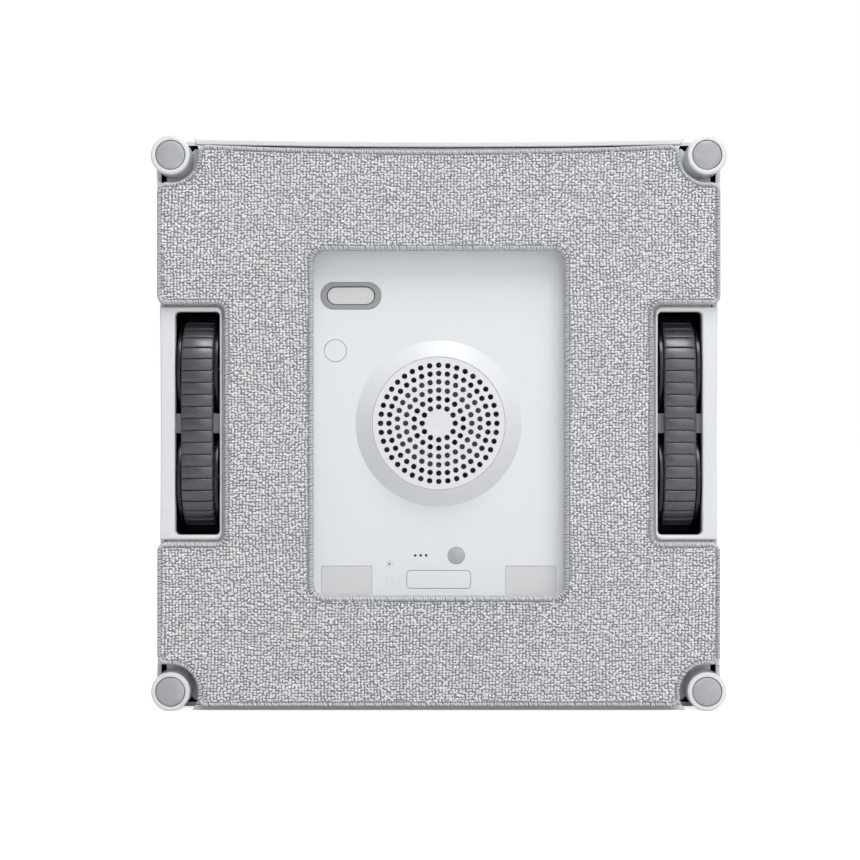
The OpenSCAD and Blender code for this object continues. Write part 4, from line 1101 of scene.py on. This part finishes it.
class ROBOT_OT_mouldings(Operator):
    """Rounds the edges of the moulded parts"""
    bl_idname = "robot.mouldings"
    bl_label = "Mouldings"

    def execute(self, context):
        for node, width in MOULDED.items():
            mould(node, width*MM)
        mould("chassis", 0.12*MM, wide=0.8*MM)
        return {"FINISHED"}


class ROBOT_OT_finishes(Operator):
    """Gives every node its finish"""
    bl_idname = "robot.finishes"
    bl_label = "Finishes"

    def execute(self, context):
        for node, piece in frame["nodes"].items():
            piece.data.materials.clear()
            piece.data.materials.append(finish_of(NODE_SLOT[node]))
        return {"FINISHED"}


# Stage

CAMERA_PLACE, CAMERA_LENS = (-3.8*MM, -0.836, 122.1*MM), 77.3      # the photo's view
WORLD_LIGHT = 0.36      # how bright the white surroundings are for all but the camera
FLOOR_GLOW = 0.76       # light of its own that the floor shows to the camera


def lamp(name, place, aim, wide, power):
    """A soft square lamp"""
    light = bpy.data.lights.new(name, "AREA")
    light.size = wide
    light.energy = power
    made = bpy.data.objects.new(name, light)
    bpy.context.collection.objects.link(made)
    made.location = place
    made.rotation_euler = (Vector(aim) - Vector(place)).to_track_quat("-Z", "Y").to_euler()


class ROBOT_OT_stage(Operator):
    """Sets the floor, the light and the camera"""
    bl_idname = "robot.stage"
    bl_label = "Stage"

    def execute(self, context):
        camera = bpy.data.objects.new("camera", bpy.data.cameras.new("camera"))
        context.collection.objects.link(camera)
        camera.data.sensor_width = 36
        camera.data.lens = CAMERA_LENS
        camera.location = CAMERA_PLACE
        camera.rotation_euler = (FULL/4, 0, 0)
        context.scene.camera = camera
        centre = (0, 0, HALF_H)
        lamp("key", (0.2, -0.85, 1.65), centre, 1.0, 19)
        lamp("fill", (0.5, -1.4, 0.7), centre, 1.2, 5.5)
        lamp("rear", (0.4, 1.1, 0.9), centre, 0.9, 9)
        floor = add(bpy.ops.mesh.primitive_plane_add, "floor", size=30)
        floor.data.materials.append(self.floor_paint())
        world = bpy.data.worlds.new("studio")
        context.scene.world = world
        world.use_nodes = True
        tree = world.node_tree
        back = tree.nodes["Background"]
        path = tree.nodes.new("ShaderNodeLightPath")
        seen = tree.nodes.new("ShaderNodeMath")
        seen.operation = "MAXIMUM"
        level = tree.nodes.new("ShaderNodeMapRange")
        level.inputs["To Min"].default_value = WORLD_LIGHT
        tree.links.new(path.outputs["Is Camera Ray"], seen.inputs[0])
        tree.links.new(path.outputs["Is Transmission Ray"], seen.inputs[1])
        tree.links.new(seen.outputs[0], level.inputs["Value"])
        tree.links.new(level.outputs["Result"], back.inputs["Strength"])
        back.inputs["Color"].default_value = (1, 1, 1, 1)
        context.scene.view_settings.view_transform = "Standard"
        return {"FINISHED"}

    def floor_paint(self):
        """A white floor that keeps its shadows and adds some light of its own, for the camera only"""
        bench = Bench("floor_white")
        bench.paint(Base_Color=(0.8, 0.8, 0.8, 1), Roughness=1, Specular_IOR_Level=0)
        strength = bench.node("ShaderNodeMath", operation="MULTIPLY")
        strength.inputs[1].default_value = FLOOR_GLOW
        bench.feed(strength, Value=bench.node("ShaderNodeLightPath").outputs["Is Camera Ray"])
        glow = bench.feed(bench.node("ShaderNodeEmission"), Strength=strength.outputs["Value"])
        both = bench.node("ShaderNodeAddShader")
        for socket, shader in zip(both.inputs, (bench.surface, glow)):
            bench.tree.links.new(shader.outputs[0], socket)
        bench.tree.links.new(both.outputs[0], bench.tree.nodes["Material Output"].inputs["Surface"])
        return bench.material


STEPS = (ROBOT_OT_stage, ROBOT_OT_finishes, ROBOT_OT_shell, ROBOT_OT_pad, ROBOT_OT_rollers, ROBOT_OT_belts,
         ROBOT_OT_mouldings)


class ROBOT_PT_sidebar(Panel):
    """Lists the steps and sizes of the robot"""
    bl_idname = "ROBOT_PT_sidebar"
    bl_label = "Window robot"
    bl_space_type = "VIEW_3D"
    bl_region_type = "UI"
    bl_category = "Window robot"

    def draw(self, context):
        for step in STEPS:
            self.layout.operator(step.bl_idname)
        for group in ("robot_shell", "robot_pad", "robot_track", "robot_colours"):
            sizes = getattr(context.scene, group)
            box = self.layout.box()
            for key in sizes.bl_rna.properties.keys():
                if key not in {"rna_type", "name"}:
                    box.prop(sizes, key)


GROUPS = {"robot_shell": ShellSizes, "robot_pad": PadSizes, "robot_track": TrackSizes,
          "robot_colours": Colours}


def register():
    for kind in (*GROUPS.values(), *STEPS, ROBOT_PT_sidebar):
        bpy.utils.register_class(kind)
    for name, kind in GROUPS.items():
        setattr(bpy.types.Scene, name, PointerProperty(type=kind))


def unregister():
    for name in GROUPS:
        delattr(bpy.types.Scene, name)
    for kind in (ROBOT_PT_sidebar, *STEPS[::-1], *GROUPS.values()):
        bpy.utils.unregister_class(kind)


def main():
    register()
    bpy.ops.robot.stage()
    bpy.ops.robot.finishes()
    bpy.ops.robot.shell()
    bpy.ops.robot.pad()
    bpy.ops.robot.rollers()
    bpy.ops.robot.belts()
    bpy.ops.robot.mouldings()


if __name__ == "__main__":
    main()
